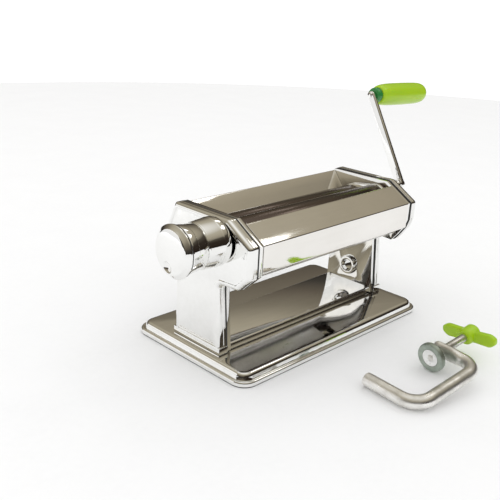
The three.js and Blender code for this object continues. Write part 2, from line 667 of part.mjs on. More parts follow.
// both eccentric bushes, tied by the shaft inside the hollow roller
function buildAdjuster() {
  const axis = group(model, 0, FRONT_ROLLER_Y, KNOB_Z);
  const bore = moved(rodX(BUSH_BORE, 0, FAR), 0, 0, ECCENTRICITY);
  const flangeOuter = SIDE_OUTER + 0.9;
  const bushBody = rodX(ECCENTRIC_OUTER, SIDE_INNER, flangeOuter);
  const leverStart = SIDE_OUTER + 0.15;
  const lever = boxAt([leverStart, -LEVER_RADIUS - 2.5, -3.5], [flangeOuter, 0, 3.5]);
  const pinHole = moved(rodX(LINK_PIN_RADIUS + SEAT, 0, FAR, SMALL_ROUND), 0, -LEVER_RADIUS, 0);
  const leverTurn = [LEVER_TURN, 0, 0];
  const rightBush = join(bushBody, cut(lever, pinHole).rotate(leverTurn));
  piece('eccentric_bush_right', cut(rightBush, bore), BRONZE, axis);
  piece('eccentric_bush_left', mirrored(cut(bushBody, bore), -1), BRONZE, axis);

  const spindleFoot = -(flangeOuter + 0.1);
  const spindleShoulder = spindleFoot - 2.2;
  const spindle = turnX([
    [SPINDLE_END, 0], [SPINDLE_END, SPINDLE_RADIUS - 1], [SPINDLE_END + 1, SPINDLE_RADIUS],
    [spindleShoulder, SPINDLE_RADIUS], [spindleShoulder, ECCENTRIC_OUTER], [spindleFoot, ECCENTRIC_OUTER],
    [spindleFoot, 0],
  ]);
  const rodBore = rodX(ROD_AXIS_RADIUS + SEAT, spindleShoulder - 8, 0, 24);
  piece('knob_spindle', cut(spindle, rodBore), STEEL, axis);

  const linkInner = GEAR_END + 0.5;
  const linkOuter = linkInner + 1.3;
  piece('adjuster_shaft', rodX(ROD_AXIS_RADIUS, spindleShoulder - 7.8, linkOuter, 24), STEEL, axis);
  const arm = boxAt([linkInner, -LEVER_RADIUS - 2.5, -3.5], [linkOuter, 4.5, 3.5]);
  const pin = moved(rodX(LINK_PIN_RADIUS, leverStart, linkOuter, SMALL_ROUND), 0, -LEVER_RADIUS, 0);
  const armHole = rodX(ROD_AXIS_RADIUS + SEAT, 0, FAR, 24);
  piece('adjuster_link', cut(join(arm, pin).rotate(leverTurn), armHole), STEEL, axis);

  const nut = cut(hexX(17, SPINDLE_END + 1, SPINDLE_END + 4.5), rodX(SPINDLE_RADIUS + SEAT, -FAR, 0, 32));
  piece('spindle_nut', nut, STEEL, axis);
  piece('knob_spring', springSolid(SPINDLE_END + 5, KNOB_WEB_OUTER - KNOB_TRAVEL - 0.4), STEEL, axis);
}

class SpringPath extends THREE.Curve {
  constructor(from, to, radius, turns) {
    super();
    Object.assign(this, { from, to, radius, turns });
  }

  getPoint(t, target = new THREE.Vector3()) {
    const angle = 2 * Math.PI * this.turns * t;
    const along = this.from + (this.to - this.from) * t;
    return target.set(along, this.radius * Math.cos(angle), this.radius * Math.sin(angle));
  }
}

function springSolid(from, to) {
  const wire = 0.7;
  const path = new SpringPath(from + wire, to - wire, SPINDLE_RADIUS + 1.8, 4);
  const section = new THREE.Shape().absarc(0, 0, wire, 0, 2 * Math.PI);
  return toSolid(new THREE.ExtrudeGeometry(section, { steps: 40, curveSegments: 3, extrudePath: path }));
}

// ---------------------------------------------------------------- knob

function buildKnob() {
  const axis = group(model, 0, FRONT_ROLLER_Y, KNOB_Z);
  const capSeat = KNOB_END + CAP_DEPTH;
  const waistStart = capSeat + 15.5;
  const waistEnd = waistStart + 2.4;
  const outer = turnX([
    [capSeat, 0], [capSeat, KNOB_RADIUS - 1], [capSeat + 0.8, KNOB_RADIUS], [capSeat + 3, KNOB_RADIUS],
    [waistStart, KNOB_WAIST], [waistStart, KNOB_WAIST - 0.6], [waistStart + 0.6, KNOB_WAIST - 0.6],
    [waistStart + 0.6, KNOB_WAIST], [waistEnd, KNOB_WAIST], [waistEnd + 7, KNOB_FOOT_RADIUS - 1],
    [KNOB_FACE - 5, KNOB_FOOT_RADIUS], [KNOB_FACE - 1.5, KNOB_FOOT_RADIUS],
    [KNOB_FACE, KNOB_FOOT_RADIUS - 1.5], [KNOB_FACE, 0],
  ]);
  const cavity = rodX(KNOB_CAVITY, capSeat - 1, KNOB_WEB_OUTER, 24);
  const bore = rodX(SPINDLE_RADIUS + RUNNING, -FAR, 0);
  const recess = rodX(INDEX_RADIUS - INDEX_PIN_RADIUS - 1.2, KNOB_FACE - 5, KNOB_FACE + 1);
  const pin = moved(rodX(INDEX_PIN_RADIUS, KNOB_FACE - 2, -COVER_OUTER - 0.2, 16), 0, 0, INDEX_RADIUS);
  piece('knob', join(cut(outer, cavity, bore, recess), pin), CHROME, axis);

  const dome = [
    [KNOB_END, 0], [KNOB_END + 0.3, 7], [KNOB_END + 0.9, 12.5], [KNOB_END + 1.9, 17], [KNOB_END + 2.6, 17.8],
    [KNOB_END + 4.6, KNOB_RIM_RADIUS - 0.5], [KNOB_END + 5.2, KNOB_RIM_RADIUS],
    [capSeat - 0.8, KNOB_RIM_RADIUS], [capSeat - 0.2, KNOB_RIM_RADIUS - 0.6],
  ];
  const plugRadius = KNOB_CAVITY - SEAT;
  const cap = turnX([...dome, [capSeat - 0.2, plugRadius], [capSeat, plugRadius], [capSeat, 0]]);
  const finger = rodX(DIMPLE_RADIUS, KNOB_END - 1, KNOB_END + DIMPLE_DEPTH, 24);
  const dimple = moved(finger, 0, DIMPLE_Y, DIMPLE_Z);
  piece('knob_cap', cut(cap, dimple), CHROME, axis);
}

// ---------------------------------------------------------------- crank

function buildCrank() {
  const hub = group(model, COVER_OUTER + CRANK_STANDOFF, REAR_ROLLER_Y, ROLLER_Z, [CRANK_ANGLE, 0, 0]);
  const seatEnd = COVER_FACE_INNER - 0.4 - COVER_OUTER - CRANK_STANDOFF;
  const shaftEnd = ARM_THICKNESS / 2 + 2;
  const armFace = ARM_THICKNESS / 2 + GAP;
  const round = rodX(SHAFT_RADIUS, seatEnd + 0.5, -armFace, 24);
  const stem = rodX(STEM_RADIUS, -armFace - 1, shaftEnd, 24);
  const head = turnX([
    [armFace, 0], [armFace, STEM_RADIUS + 1.2], [shaftEnd - 0.6, STEM_RADIUS + 0.6],
    [shaftEnd, STEM_RADIUS - 0.6], [shaftEnd, 0],
  ], 24);
  const hex = hexX(HEX_ACROSS, seatEnd - HEX_DEPTH, seatEnd + 1);
  const collar = rodX(SHAFT_RADIUS + 1.5, -armFace - 3, -armFace, 24);
  piece('crank_shaft', join(round, collar, stem, head, hex.rotate([-CRANK_ANGLE, 0, 0])), CHROME, hub);

  const lean = group(hub, 0, 0, 0, [0, CRANK_LEAN, 0]);
  const armShape = new THREE.Shape();
  const low = ARM_WIDTH / 2;
  const high = ARM_WIDTH / 2 - 0.6;
  armShape.absarc(0, 0, low, Math.PI, 2 * Math.PI);
  armShape.absarc(0, CRANK_LENGTH, high, 0, Math.PI);
  const arm = slabX(armShape, -ARM_THICKNESS / 2, ARM_THICKNESS / 2, 16);
  const shaftHole = rodX(STEM_RADIUS + SEAT, -20, 20, 24);
  const pinHole = moved(rodX(RIVET_RADIUS + SEAT, -20, 20, 24), 0, 0, CRANK_LENGTH);
  piece('crank_arm', cut(arm, shaftHole, pinHole), CHROME, lean);

  const grip = group(lean, 0, 0, CRANK_LENGTH);
  const gripStart = ARM_THICKNESS / 2 + 7.5;
  const gripEnd = gripStart + GRIP_LENGTH;
  const rivet = ARM_THICKNESS / 2 + 0.1;
  const pin = turnX([
    [-rivet - 1.4, 0], [-rivet - 1.4, 1.6], [-rivet, 3.2], [-rivet, RIVET_RADIUS],
    [rivet + 0.1, RIVET_RADIUS], [rivet + 0.1, GRIP_PIN_RADIUS],
    [gripEnd - 12, GRIP_PIN_RADIUS], [gripEnd - 12, 0],
  ], 24);
  piece('grip_pin', pin, STEEL, grip);
  const ferrule = turnX([
    [rivet + 0.2, GRIP_PIN_RADIUS + RUNNING], [rivet + 0.2, 6.5], [rivet + 2, 7.4], [gripStart - 0.4, 7.8],
    [gripStart - 0.4, GRIP_PIN_RADIUS + RUNNING], [rivet + 0.2, GRIP_PIN_RADIUS + RUNNING],
  ], 32);
  piece('grip_ferrule', ferrule, GREEN, grip);
  const bore = GRIP_PIN_RADIUS + RUNNING;
  const boreEnd = gripEnd - 11;
  const handle = turnX([
    [gripStart, bore], [gripStart, 8.4], [gripStart + 1.5, 9.6], [gripStart + 12, GRIP_RADIUS - 0.7],
    [gripStart + 34, GRIP_RADIUS], [gripEnd - 18, GRIP_RADIUS - 0.4], [gripEnd - 6, GRIP_RADIUS - 1.9],
    [gripEnd - 2.2, GRIP_RADIUS - 4.2], [gripEnd, GRIP_RADIUS - 8], [gripEnd, 0],
    [boreEnd, 0], [boreEnd, bore], [gripStart, bore],
  ], 32);
  piece('grip', handle, LIME, grip);
}

// ---------------------------------------------------------------- clamp

// bent bar in the clamp's own plane: X along the spine, Y along the two arms
function barPath() {
  const path = new THREE.CurvePath();
  const bend = ROD_BEND;
  const at = (x, y) => new THREE.Vector3(x, y, 0);
  const corner = (start, middle, end) => new THREE.CubicBezierCurve3(
    start, start.clone().lerp(middle, 0.552), end.clone().lerp(middle, 0.552), end);
  path.add(new THREE.LineCurve3(at(0, ROD_ARM), at(0, bend)));
  path.add(corner(at(0, bend), at(0, 0), at(bend, 0)));
  path.add(new THREE.LineCurve3(at(bend, 0), at(ROD_SPINE - bend, 0)));
  path.add(corner(at(ROD_SPINE - bend, 0), at(ROD_SPINE, 0), at(ROD_SPINE, bend)));
  path.add(new THREE.LineCurve3(at(ROD_SPINE, bend), at(ROD_SPINE, ROD_UPPER_ARM)));
  return path;
}

function buildClamp() {
  const clamp = group(model, ...CLAMP_PLACE, CLAMP_TURN);
  const section = new THREE.Shape().absarc(0, 0, ROD_RADIUS, 0, 2 * Math.PI);
  const sweep = { steps: 34, curveSegments: 7, extrudePath: barPath() };
  const bar = toSolid(new THREE.ExtrudeGeometry(section, sweep));
  const eye = moved(rodX(SCREW_RADIUS + 4.6, -4, 4, 32), ROD_SPINE, SCREW_OFFSET, 0);
  const hole = moved(rodX(SCREW_RADIUS + GAP, -20, 20, 24), ROD_SPINE, SCREW_OFFSET, 0);
  piece('clamp_rod', cut(join(bar, eye), hole), ZINC, clamp);

  const screwAxis = group(clamp, ROD_SPINE, SCREW_OFFSET, 0);
  const padInner = -PAD_STANDOFF;
  const padFace = padInner - PAD_THICKNESS / 2;
  const padBack = padInner + PAD_THICKNESS / 2;
  const bore = SCREW_RADIUS + GAP;
  const pad = turnX([
    [padFace, 0], [padFace, PAD_RADIUS - 1.5], [padFace + 1.2, PAD_RADIUS], [padBack - 1.6, PAD_RADIUS],
    [padBack, PAD_RADIUS - 2], [padBack, 7], [padBack + 2, 6], [padBack + 2, bore], [padFace + 2.4, bore],
    [padFace + 2.4, 0],
  ], 36);
  piece('clamp_pad', pad, PAD_GREY, screwAxis);
  const screw = rodX(SCREW_RADIUS, padFace + 2.7, WING_STANDOFF + WING_RADIUS - 3, 24);
  piece('clamp_screw', screw, ZINC, screwAxis);

  const wing = group(screwAxis, WING_STANDOFF, 0, 0, [WING_TURN, 0, 0]);
  piece('wing_handle', cut(wingSolid(), rodX(SCREW_RADIUS + SEAT, -40, WING_RADIUS - 2.5, 24)), LIME, wing);
}

function wingSolid() {
  const hub = turnX([
    [-WING_RADIUS, 0], [-WING_RADIUS, WING_RADIUS - 2.2], [-WING_RADIUS + 2, WING_RADIUS - 0.6],
    [WING_RADIUS - 3, WING_RADIUS], [WING_RADIUS, WING_RADIUS - 2.4], [WING_RADIUS, 0],
  ], 24);
  const tip = WING_SPAN / 2;
  const blade = new THREE.Shape();
  blade.moveTo(0, -6);
  blade.lineTo(tip - 8, -6.5);
  blade.quadraticCurveTo(tip, -7, tip, 0);
  blade.quadraticCurveTo(tip, 6, tip - 7, 5.5);
  blade.lineTo(0, 4.5);
  blade.lineTo(-tip + 7, 5.5);
  blade.quadraticCurveTo(-tip, 6, -tip, 0);
  blade.quadraticCurveTo(-tip, -7, -tip + 8, -6.5);
  const wings = slabX(blade, -2.8, 2.8, 6);
  return join(hub, wings);
}

// ---------------------------------------------------------------- assembly

buildBase();
buildChassisFloor();
buildSides();
buildTieRods();
buildClampSocket();
buildSheets();
buildEndGuides();
buildScrapers();
buildRearRoller();
buildFrontRoller();
buildAdjuster();
buildKnob();
buildCrank();
buildClamp();

// the origin is under the middle of everything, at floor level
const extent = new THREE.Box3().setFromObject(model, true);
const assembly = new THREE.Group();
model.position.set(-(extent.min.x + extent.max.x) / 2, -(extent.min.y + extent.max.y) / 2, -extent.min.z);
assembly.add(model);

export default assembly;
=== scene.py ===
"""Hand-cranked pasta roller machine and its loose table clamp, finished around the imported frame."""
import json
import math

import bmesh
import bpy
from mathutils import Matrix, Vector

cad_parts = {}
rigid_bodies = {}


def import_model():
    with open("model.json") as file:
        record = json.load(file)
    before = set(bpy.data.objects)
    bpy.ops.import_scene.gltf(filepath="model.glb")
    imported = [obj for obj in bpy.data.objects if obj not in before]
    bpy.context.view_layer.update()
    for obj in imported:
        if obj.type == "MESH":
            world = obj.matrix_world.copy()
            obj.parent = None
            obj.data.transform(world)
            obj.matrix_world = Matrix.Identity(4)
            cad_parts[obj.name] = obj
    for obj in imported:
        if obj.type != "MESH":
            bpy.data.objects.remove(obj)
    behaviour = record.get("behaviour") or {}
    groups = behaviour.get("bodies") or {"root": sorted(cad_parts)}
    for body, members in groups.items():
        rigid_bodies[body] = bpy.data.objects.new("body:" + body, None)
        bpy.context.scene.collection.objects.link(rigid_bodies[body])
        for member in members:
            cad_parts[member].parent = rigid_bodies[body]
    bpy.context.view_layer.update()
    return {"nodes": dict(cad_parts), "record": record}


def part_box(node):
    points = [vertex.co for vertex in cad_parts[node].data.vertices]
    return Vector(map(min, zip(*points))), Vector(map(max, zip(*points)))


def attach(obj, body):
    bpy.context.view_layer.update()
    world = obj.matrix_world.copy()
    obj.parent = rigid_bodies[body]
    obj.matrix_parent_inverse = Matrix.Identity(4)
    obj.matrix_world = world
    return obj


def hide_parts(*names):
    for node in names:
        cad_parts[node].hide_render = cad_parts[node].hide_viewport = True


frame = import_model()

# ---------------------------------------------------------------- sizes, in millimetres

MM = 0.001

# head and leg outline of the two end covers: y forwards and back, z up
HEAD_TOP = 124.5
HEAD_TOP_FRONT = 32
HEAD_TOP_REAR = 30
HEAD_FRONT = 57.7
FRONT_UPPER = 108.8
FRONT_LOWER = 83.9
HEAD_REAR = 46.5
REAR_LOWER = 87
UNDERSIDE = 71.5
UNDERSIDE_HALF = 45
LEG_BOTTOM = 10.7
LEG_FRONT_FOOT = 28
LEG_FRONT_TOP = 23.5
LEG_REAR = 27
BAND_HEIGHT = 6
CORNER_ROUND = 1.6
SEAM = 1.3
WHOLE_FACE = 1000  # square millimetres; only the face of a whole outline is larger

# base, rollers and knob; CHANNEL_SCREW is (x, y)
BASE_CORNER = 13
CHANNEL_SCREW = (59.8, -20.7)
ROLLER_RADIUS = 12
JOURNAL_RADIUS = 7
ROLLER_BORE = 4.5
HEX_BORE = 4.95
HEX_DEPTH = 24
KNOB_RADIUS = 19.3
KNOB_RIM = 20.6
KNOB_WAIST = 17.9
KNOB_FOOT = 19.5
KNOB_STANDOFF = 1.2
DIMPLE_RADIUS = 4.9
DIMPLE_DEPTH = 2.8
DIMPLE_OFFSET = (2, -12)
SPINDLE_RADIUS = 6
INDEX_RADIUS = 15
INDEX_PIN_RADIUS = 1.3
SETTINGS = 9
SETTING_STEP = math.radians(17.5)

# crank and grip
CRANK_LENGTH = 97.6
ARM_THICKNESS = 4.5
ARM_WIDTH = 9.4
SHAFT_RADIUS = 4.5
HEX_ACROSS = 7.6
GRIP_LENGTH = 82
GRIP_RADIUS = 11.7
GRIP_START = ARM_THICKNESS / 2 + 7.5

# clamp
ROD_RADIUS = 5.55
ROD_ARM = 49.3
ROD_SPINE = 75.2
ROD_BEND = 15
SCREW_OFFSET = 33.9
SCREW_RADIUS = 3.5
SCREW_PITCH = 1.25
PAD_RADIUS = 12.3
PAD_FACE = -16.75
PAD_BACK = -11.25
# length, then how much thinner and wider the section gets along it
UPPER_ARM = [
    (2, 0.97, 1.04), (2.5, 0.92, 1.06), (3, 0.9, 1.07), (3, 0.93, 1.05), (6, 1, 1), (6, 1, 1),
    (2, 0.98, 0.94), (1.3, 0.94, 0.88),
]
WING_STANDOFF = 37
WING_SPAN = 52
WING_RADIUS = 8
WING_TURN = -8
CLAMP_TURN = (-0.2, -6.6, -4.6)

# floor, in metres, and the brightness of the even light
FLOOR_RADIUS = 1.7
EVEN_LIGHT = 1.1

base_low, base_high = (Vector(corner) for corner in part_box("base_plate"))
ORIGIN = Vector(((base_low.x + base_high.x) / 2, (base_low.y + base_high.y) / 2, 0))
TO_FRAME = Matrix.Translation(ORIGIN) @ Matrix.Scale(MM, 4)
ALONG_TO_UP = Matrix(((0, 1, 0, 0), (0, 0, 1, 0), (1, 0, 0, 0), (0, 0, 0, 1)))
JOINTS = {joint["name"]: joint for joint in frame["record"]["behaviour"]["joints"]}


def limits(node):
    """Lowest and highest corner of a frame node, in millimetres about the middle of the base."""
    return tuple((Vector(corner) - ORIGIN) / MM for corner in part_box(node))


def pivot(joint):
    """Where a joint's axis passes, in millimetres about the middle of the base."""
    return (Vector(JOINTS[joint]["pos_m"]) - ORIGIN) / MM


# ---------------------------------------------------------------- materials

MATERIALS = {}


def node_of(tree, kind, inputs=None, **settings):
    """A new shader node with its settings and unlinked inputs."""
    node = tree.nodes.new(kind)
    for key, value in settings.items():
        setattr(node, key, value)
    for key, value in (inputs or {}).items():
        node.inputs[key].default_value = value
    return node


def noise(tree, coordinates, scale, detail=3, stretch=(1, 1, 1)):
    """Noise in the object's own metres, drawn out along the axes with a low stretch."""
    mapping = node_of(tree, "ShaderNodeMapping", {"Scale": stretch})
    tree.links.new(coordinates, mapping.inputs["Vector"])
    made = node_of(tree, "ShaderNodeTexNoise", {"Scale": scale, "Detail": detail})
    tree.links.new(mapping.outputs["Vector"], made.inputs["Vector"])
    return made.outputs["Fac"]


def between(tree, value, low, high, start=0.3, end=0.7):
    """Spreads a pattern's middle range over the numbers from low to high."""
    spread = node_of(tree, "ShaderNodeMapRange", {
        "From Min": start, "From Max": end, "To Min": low, "To Max": high})
    tree.links.new(value, spread.inputs["Value"])
    return spread.outputs["Result"]


def finish_of(name, colour, stain, rough, metallic=1.0, grain=(1, 1, 1), grain_scale=180,
              patch_scale=14, ripple=0.02, ripple_scale=22, tooth=0.03, tooth_scale=900, extra=None):
    """A surface with patchy colour, drawn-out polishing or moulding grain and a slight ripple."""
    material = bpy.data.materials.new(name)
    material.use_nodes = True
    tree = material.node_tree
    tree.nodes.clear()
    shader = node_of(tree, "ShaderNodeBsdfPrincipled", {"Metallic": metallic, **(extra or {})})
    output = node_of(tree, "ShaderNodeOutputMaterial")
    tree.links.new(shader.outputs["BSDF"], output.inputs["Surface"])
    place = node_of(tree, "ShaderNodeTexCoord").outputs["Object"]

    patches = noise(tree, place, patch_scale, 5)
    grained = noise(tree, place, grain_scale, 4, grain)
    mixed = node_of(tree, "ShaderNodeMath", operation="MULTIPLY")
    tree.links.new(between(tree, patches, 0, 1), mixed.inputs[0])
    tree.links.new(between(tree, grained, 0.35, 1), mixed.inputs[1])
    blend = node_of(tree, "ShaderNodeMix", data_type="RGBA")
    blend.inputs["A"].default_value = (*colour, 1)
    blend.inputs["B"].default_value = (*stain, 1)
    tree.links.new(mixed.outputs[0], blend.inputs["Factor"])
    tree.links.new(blend.outputs["Result"], shader.inputs["Base Color"])

    wear = node_of(tree, "ShaderNodeMath", operation="ADD")
    tree.links.new(between(tree, grained, rough[0], rough[1]), wear.inputs[0])
    tree.links.new(between(tree, patches, 0, (rough[1] - rough[0]) / 2, 0.45, 0.75), wear.inputs[1])
    tree.links.new(wear.outputs[0], shader.inputs["Roughness"])

    fine = node_of(tree, "ShaderNodeBump", {"Strength": tooth, "Distance": 0.0004})
    tree.links.new(noise(tree, place, tooth_scale, 2, grain), fine.inputs["Height"])
    broad = node_of(tree, "ShaderNodeBump", {"Strength": ripple, "Distance": 0.01})
    tree.links.new(noise(tree, place, ripple_scale, 1), broad.inputs["Height"])
    tree.links.new(fine.outputs["Normal"], broad.inputs["Normal"])
    tree.links.new(broad.outputs["Normal"], shader.inputs["Normal"])
    MATERIALS[name] = material
    return material


def make_materials():
    """Every finish on the machine, by the name of its slot."""
    finish_of("bright_chrome", (0.93, 0.93, 0.92), (0.84, 0.84, 0.82), (0.015, 0.06), grain=(0.2, 1, 1))
    finish_of("cover_chrome", (0.9, 0.88, 0.85), (0.8, 0.78, 0.74), (0.03, 0.09), grain=(0.1, 1, 1))
    # roller_chrome's near-black brown is painted shade: it darkens the rollers the way they look in the shade
    # of the slot between the sheets
    finish_of("roller_chrome", (0.13, 0.1, 0.085), (0.1, 0.078, 0.065), (0.16, 0.26), grain=(0.04, 1, 1))
    finish_of("plain_steel", (0.62, 0.61, 0.6), (0.42, 0.4, 0.38), (0.25, 0.42), grain_scale=320)
    finish_of("bearing_bronze", (0.55, 0.38, 0.2), (0.36, 0.24, 0.12), (0.3, 0.5))
    finish_of("clamp_zinc", (0.95, 0.94, 0.91), (0.5, 0.48, 0.43), (0.24, 0.4), grain=(1, 1, 1),
              grain_scale=90, patch_scale=45, ripple=0.05, ripple_scale=70, tooth=0.06)
    finish_of("pad_grey", (0.45, 0.5, 0.44), (0.3, 0.35, 0.3), (0.3, 0.5), grain_scale=240, patch_scale=60,
              tooth=0.1)
    finish_of("lime_plastic", (0.36, 0.56, 0.004), (0.29, 0.49, 0.003), (0.24, 0.38), metallic=0,
              grain=(0.15, 1, 1), ripple=0.03, ripple_scale=40, tooth=0.08, tooth_scale=1400,
              extra={"Subsurface Weight": 0.08, "Subsurface Scale": 0.004, "Coat Weight": 0.15,
                     "Coat Roughness": 0.12})
    finish_of("green_plastic", (0.02, 0.2, 0.035), (0.01, 0.13, 0.02), (0.2, 0.34), metallic=0, tooth=0.08,
              extra={"Coat Weight": 0.2, "Coat Roughness": 0.15})
    finish_of("sleeve_nylon", (0.8, 0.79, 0.72), (0.7, 0.68, 0.6), (0.4, 0.55), metallic=0, tooth=0.1)
    # foot_rubber also colours the black strips of painted shade under the base, round the covers and at the
    # knob cap
    finish_of("foot_rubber", (0.025, 0.025, 0.025), (0.05, 0.048, 0.045), (0.6, 0.8), metallic=0, tooth=0.3)


# ---------------------------------------------------------------- modelling helpers


def spread(points, along=0.0):
    """A flat face through (y, z) points, square to the X axis, facing +X."""
    bm = bmesh.new()
    face = bm.faces.new([bm.verts.new((along, y, z)) for y, z in points])
    bm.normal_update()
    if face.normal.x < 0:
        face.normal_flip()
    return bm, face


def round_corners(bm, verts, radius, segments=6):
    """Rounds the corners of a flat face."""
    bmesh.ops.bevel(bm, geom=verts, offset=radius, affect="VERTICES", segments=segments, profile=0.5,
                    material=-1, clamp_overlap=True)


def soften(bm, width, segments=2, angle=25):
    """Rounds every edge that is sharper than the angle."""
    bm.normal_update()
    edges = [edge for edge in bm.edges
             if len(edge.link_faces) == 2 and edge.calc_face_angle(0) > math.radians(angle)]
    bmesh.ops.bevel(bm, geom=edges, offset=width, affect="EDGES", segments=segments, profile=0.5,
                    material=-1, clamp_overlap=True)


def thicken(bm, thickness):
    """Gives an open sheet its wall, inwards."""
    bm.normal_update()
    bmesh.ops.solidify(bm, geom=bm.faces, thickness=thickness)


def turned(profile, steps=96, closed=False, width=0.0, segments=2):
    """A piece turned about the X axis from (x, radius) points, with its corners rounded."""
    bm = bmesh.new()
    verts = [bm.verts.new((x, 0, radius)) for x, radius in profile]
    edges = [bm.edges.new(pair) for pair in zip(verts, verts[1:])]
    if closed:
        edges.append(bm.edges.new((verts[-1], verts[0])))
    bmesh.ops.spin(bm, geom=verts + edges, cent=(0, 0, 0), axis=(1, 0, 0), angle=2 * math.pi, steps=steps,
                   use_merge=True)
    bmesh.ops.remove_doubles(bm, verts=bm.verts, dist=1e-4)
    bmesh.ops.recalc_face_normals(bm, faces=bm.faces)
    if width:
        soften(bm, width, segments)
    return bm


def slab(points, start, end, corner=0.0, width=0.0, segments=6):
    """A plate cut to an outline of (y, z) points, between two places along X."""
    bm = spread(points, end)[0]
    if corner:
        round_corners(bm, list(bm.verts), corner, segments)
    base = bmesh.ops.extrude_face_region(bm, geom=list(bm.faces))
    bmesh.ops.translate(bm, vec=(start - end, 0, 0),
                        verts=[item for item in base["geom"] if isinstance(item, bmesh.types.BMVert)])
    bmesh.ops.recalc_face_normals(bm, faces=bm.faces)
    if width:
        soften(bm, width)
    return bm


def bent_sheet(line, half, thickness, fold=1.2):
    """A strip folded along a line of (y, z) points, as long as the machine between its side plates."""
    bm = bmesh.new()
    verts = [bm.verts.new((-half, y, z)) for y, z in line]
    edges = [bm.edges.new(pair) for pair in zip(verts, verts[1:])]
    made = bmesh.ops.extrude_edge_only(bm, edges=edges)
    bmesh.ops.translate(bm, vec=(2 * half, 0, 0),
                        verts=[item for item in made["geom"] if isinstance(item, bmesh.types.BMVert)])
    bmesh.ops.recalc_face_normals(bm, faces=bm.faces)
    soften(bm, fold, 5, 3)
    if sum(face.normal.z * face.calc_area() for face in bm.faces) < 0:
        bmesh.ops.reverse_faces(bm, faces=bm.faces)
    thicken(bm, thickness)
    return bm


def flipped(bm):
    """The other-hand copy of a piece, faces kept outwards."""
    bmesh.ops.scale(bm, vec=(-1, 1, 1), verts=bm.verts)
    bmesh.ops.reverse_faces(bm, faces=bm.faces)
    return bm


def add_to(bm, other):
    """Puts one mesh's geometry into another."""
    mesh = bpy.data.meshes.new("added")
    other.to_mesh(mesh)
    other.free()
    bm.from_mesh(mesh)
    bpy.data.meshes.remove(mesh)
    return bm


def shade(mesh, sharp):
    """Smooth faces, with a crease at every edge sharper than the angle."""
    bm = bmesh.new()
    bm.from_mesh(mesh)
    for face in bm.faces:
        face.smooth = True
    for edge in bm.edges:
        edge.smooth = len(edge.link_faces) == 2 and edge.calc_face_angle(0) < math.radians(sharp)
    bm.to_mesh(mesh)
    bm.free()


def as_object(bm, name, place=None):
    """A mesh object in the frame's metres from a mesh in millimetres about the base."""
    bmesh.ops.transform(bm, matrix=TO_FRAME @ (place or Matrix()), verts=bm.verts)
    mesh = bpy.data.meshes.new(name)
    bm.to_mesh(mesh)
    bm.free()
    made = bpy.data.objects.new(name, mesh)
    bpy.context.scene.collection.objects.link(made)
    return made


def settle(made):
    """Fixes an object's modifiers into its mesh."""
    graph = bpy.context.evaluated_depsgraph_get()
    mesh = bpy.data.meshes.new_from_object(made.evaluated_get(graph))
    made.modifiers.clear()
    made.data = mesh


def drill(made, cutters):
    """Cuts holes in an object with solids in millimetres about the base."""
    for i, cutter in enumerate(cutters):
        tool = as_object(cutter, f"cutter_{i}")
        cut = made.modifiers.new("cut", "BOOLEAN")
        cut.operation = "DIFFERENCE"
        cut.solver = "EXACT"
        cut.object = tool
        settle(made)
        bpy.data.objects.remove(tool)


def complete(made, material, body, *nodes, sharp=30):
    """Shades a piece, gives it its finish and hangs it on its body in place of frame nodes."""
    shade(made.data, sharp)
    made.data.materials.clear()
    made.data.materials.append(MATERIALS[material])
    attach(made, body)
    if nodes:
        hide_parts(*nodes)
    return made


def piece(bm, name, material, body, *nodes, place=None, holes=(), sharp=30):
    """Finishes one modelled piece."""
    made = as_object(bm, name, place)
    drill(made, holes)
    return complete(made, material, body, *nodes, sharp=sharp)


def rod(radius, start, end, y=0.0, z=0.0, steps=48):
    """A plain cylinder along X, used for shafts and for drilling."""
    bm = turned([(start, 0), (start, radius), (end, radius), (end, 0)], steps)
    bmesh.ops.translate(bm, vec=(0, y, z), verts=bm.verts)
    return bm


def refined(node, name, material, body, width=0.35):
    """A frame node's shape as one merged mesh with its edges broken."""
    bm = bmesh.new()
    bm.from_mesh(frame["nodes"][node].data)
    bmesh.ops.transform(bm, matrix=TO_FRAME.inverted() @ frame["nodes"][node].matrix_world, verts=bm.verts)
    bmesh.ops.remove_doubles(bm, verts=bm.verts, dist=0.002)
    bmesh.ops.dissolve_limit(bm, angle_limit=math.radians(1), verts=bm.verts, edges=bm.edges)
    if width:
        soften(bm, width, 2, 30)
    return piece(bm, name, material, body, node)


# ---------------------------------------------------------------- base, legs and head


def ring(points, along, inwards, corner):
    """One level of a pressed pan: its outline moved inwards, with rounded corners."""
    bm, face = spread(points, along)
    bmesh.ops.inset_region(bm, faces=[face], thickness=max(inwards, 0.002), use_even_offset=True,
                           use_boundary=True)
    middle = max(bm.faces, key=lambda item: item.calc_area())
    bmesh.ops.delete(bm, geom=[item for item in bm.faces if item is not middle], context="FACES")
    round_corners(bm, list(bm.verts), corner, 6)
    return bm


def pressed_pan(points, levels):
    """A closed pan of sheet, from the inside of its face, round its rim, to the outside of its face.

    Each level is a place along X, how far the outline is moved inwards, and its corner radius.
    """
    bm = bmesh.new()
    loops = []
    for i, (along, inwards, corner) in enumerate(levels):
        level = ring(points, along, inwards, corner)
        if 0 < i < len(levels) - 1:
            bmesh.ops.delete(level, geom=list(level.faces), context="FACES_ONLY")
        before = len(bm.edges)
        add_to(bm, level)
        bm.edges.ensure_lookup_table()
        loops.append(bm.edges[before:])
    for first, second in zip(loops, loops[1:]):
        bmesh.ops.bridge_loops(bm, edges=first + second)
    bmesh.ops.recalc_face_normals(bm, faces=bm.faces)
    return bm


def strip_round(points, levels):
    """A thin closed strip that follows an outline: a pan's levels without its two faces."""
    bm = pressed_pan(points, levels)
    whole = [item for item in bm.faces if item.calc_area() > WHOLE_FACE]
    bmesh.ops.delete(bm, geom=whole, context="FACES_ONLY")
    bmesh.ops.bridge_loops(bm, edges=[item for item in bm.edges if item.is_boundary])
    bmesh.ops.recalc_face_normals(bm, faces=bm.faces)
    return bm


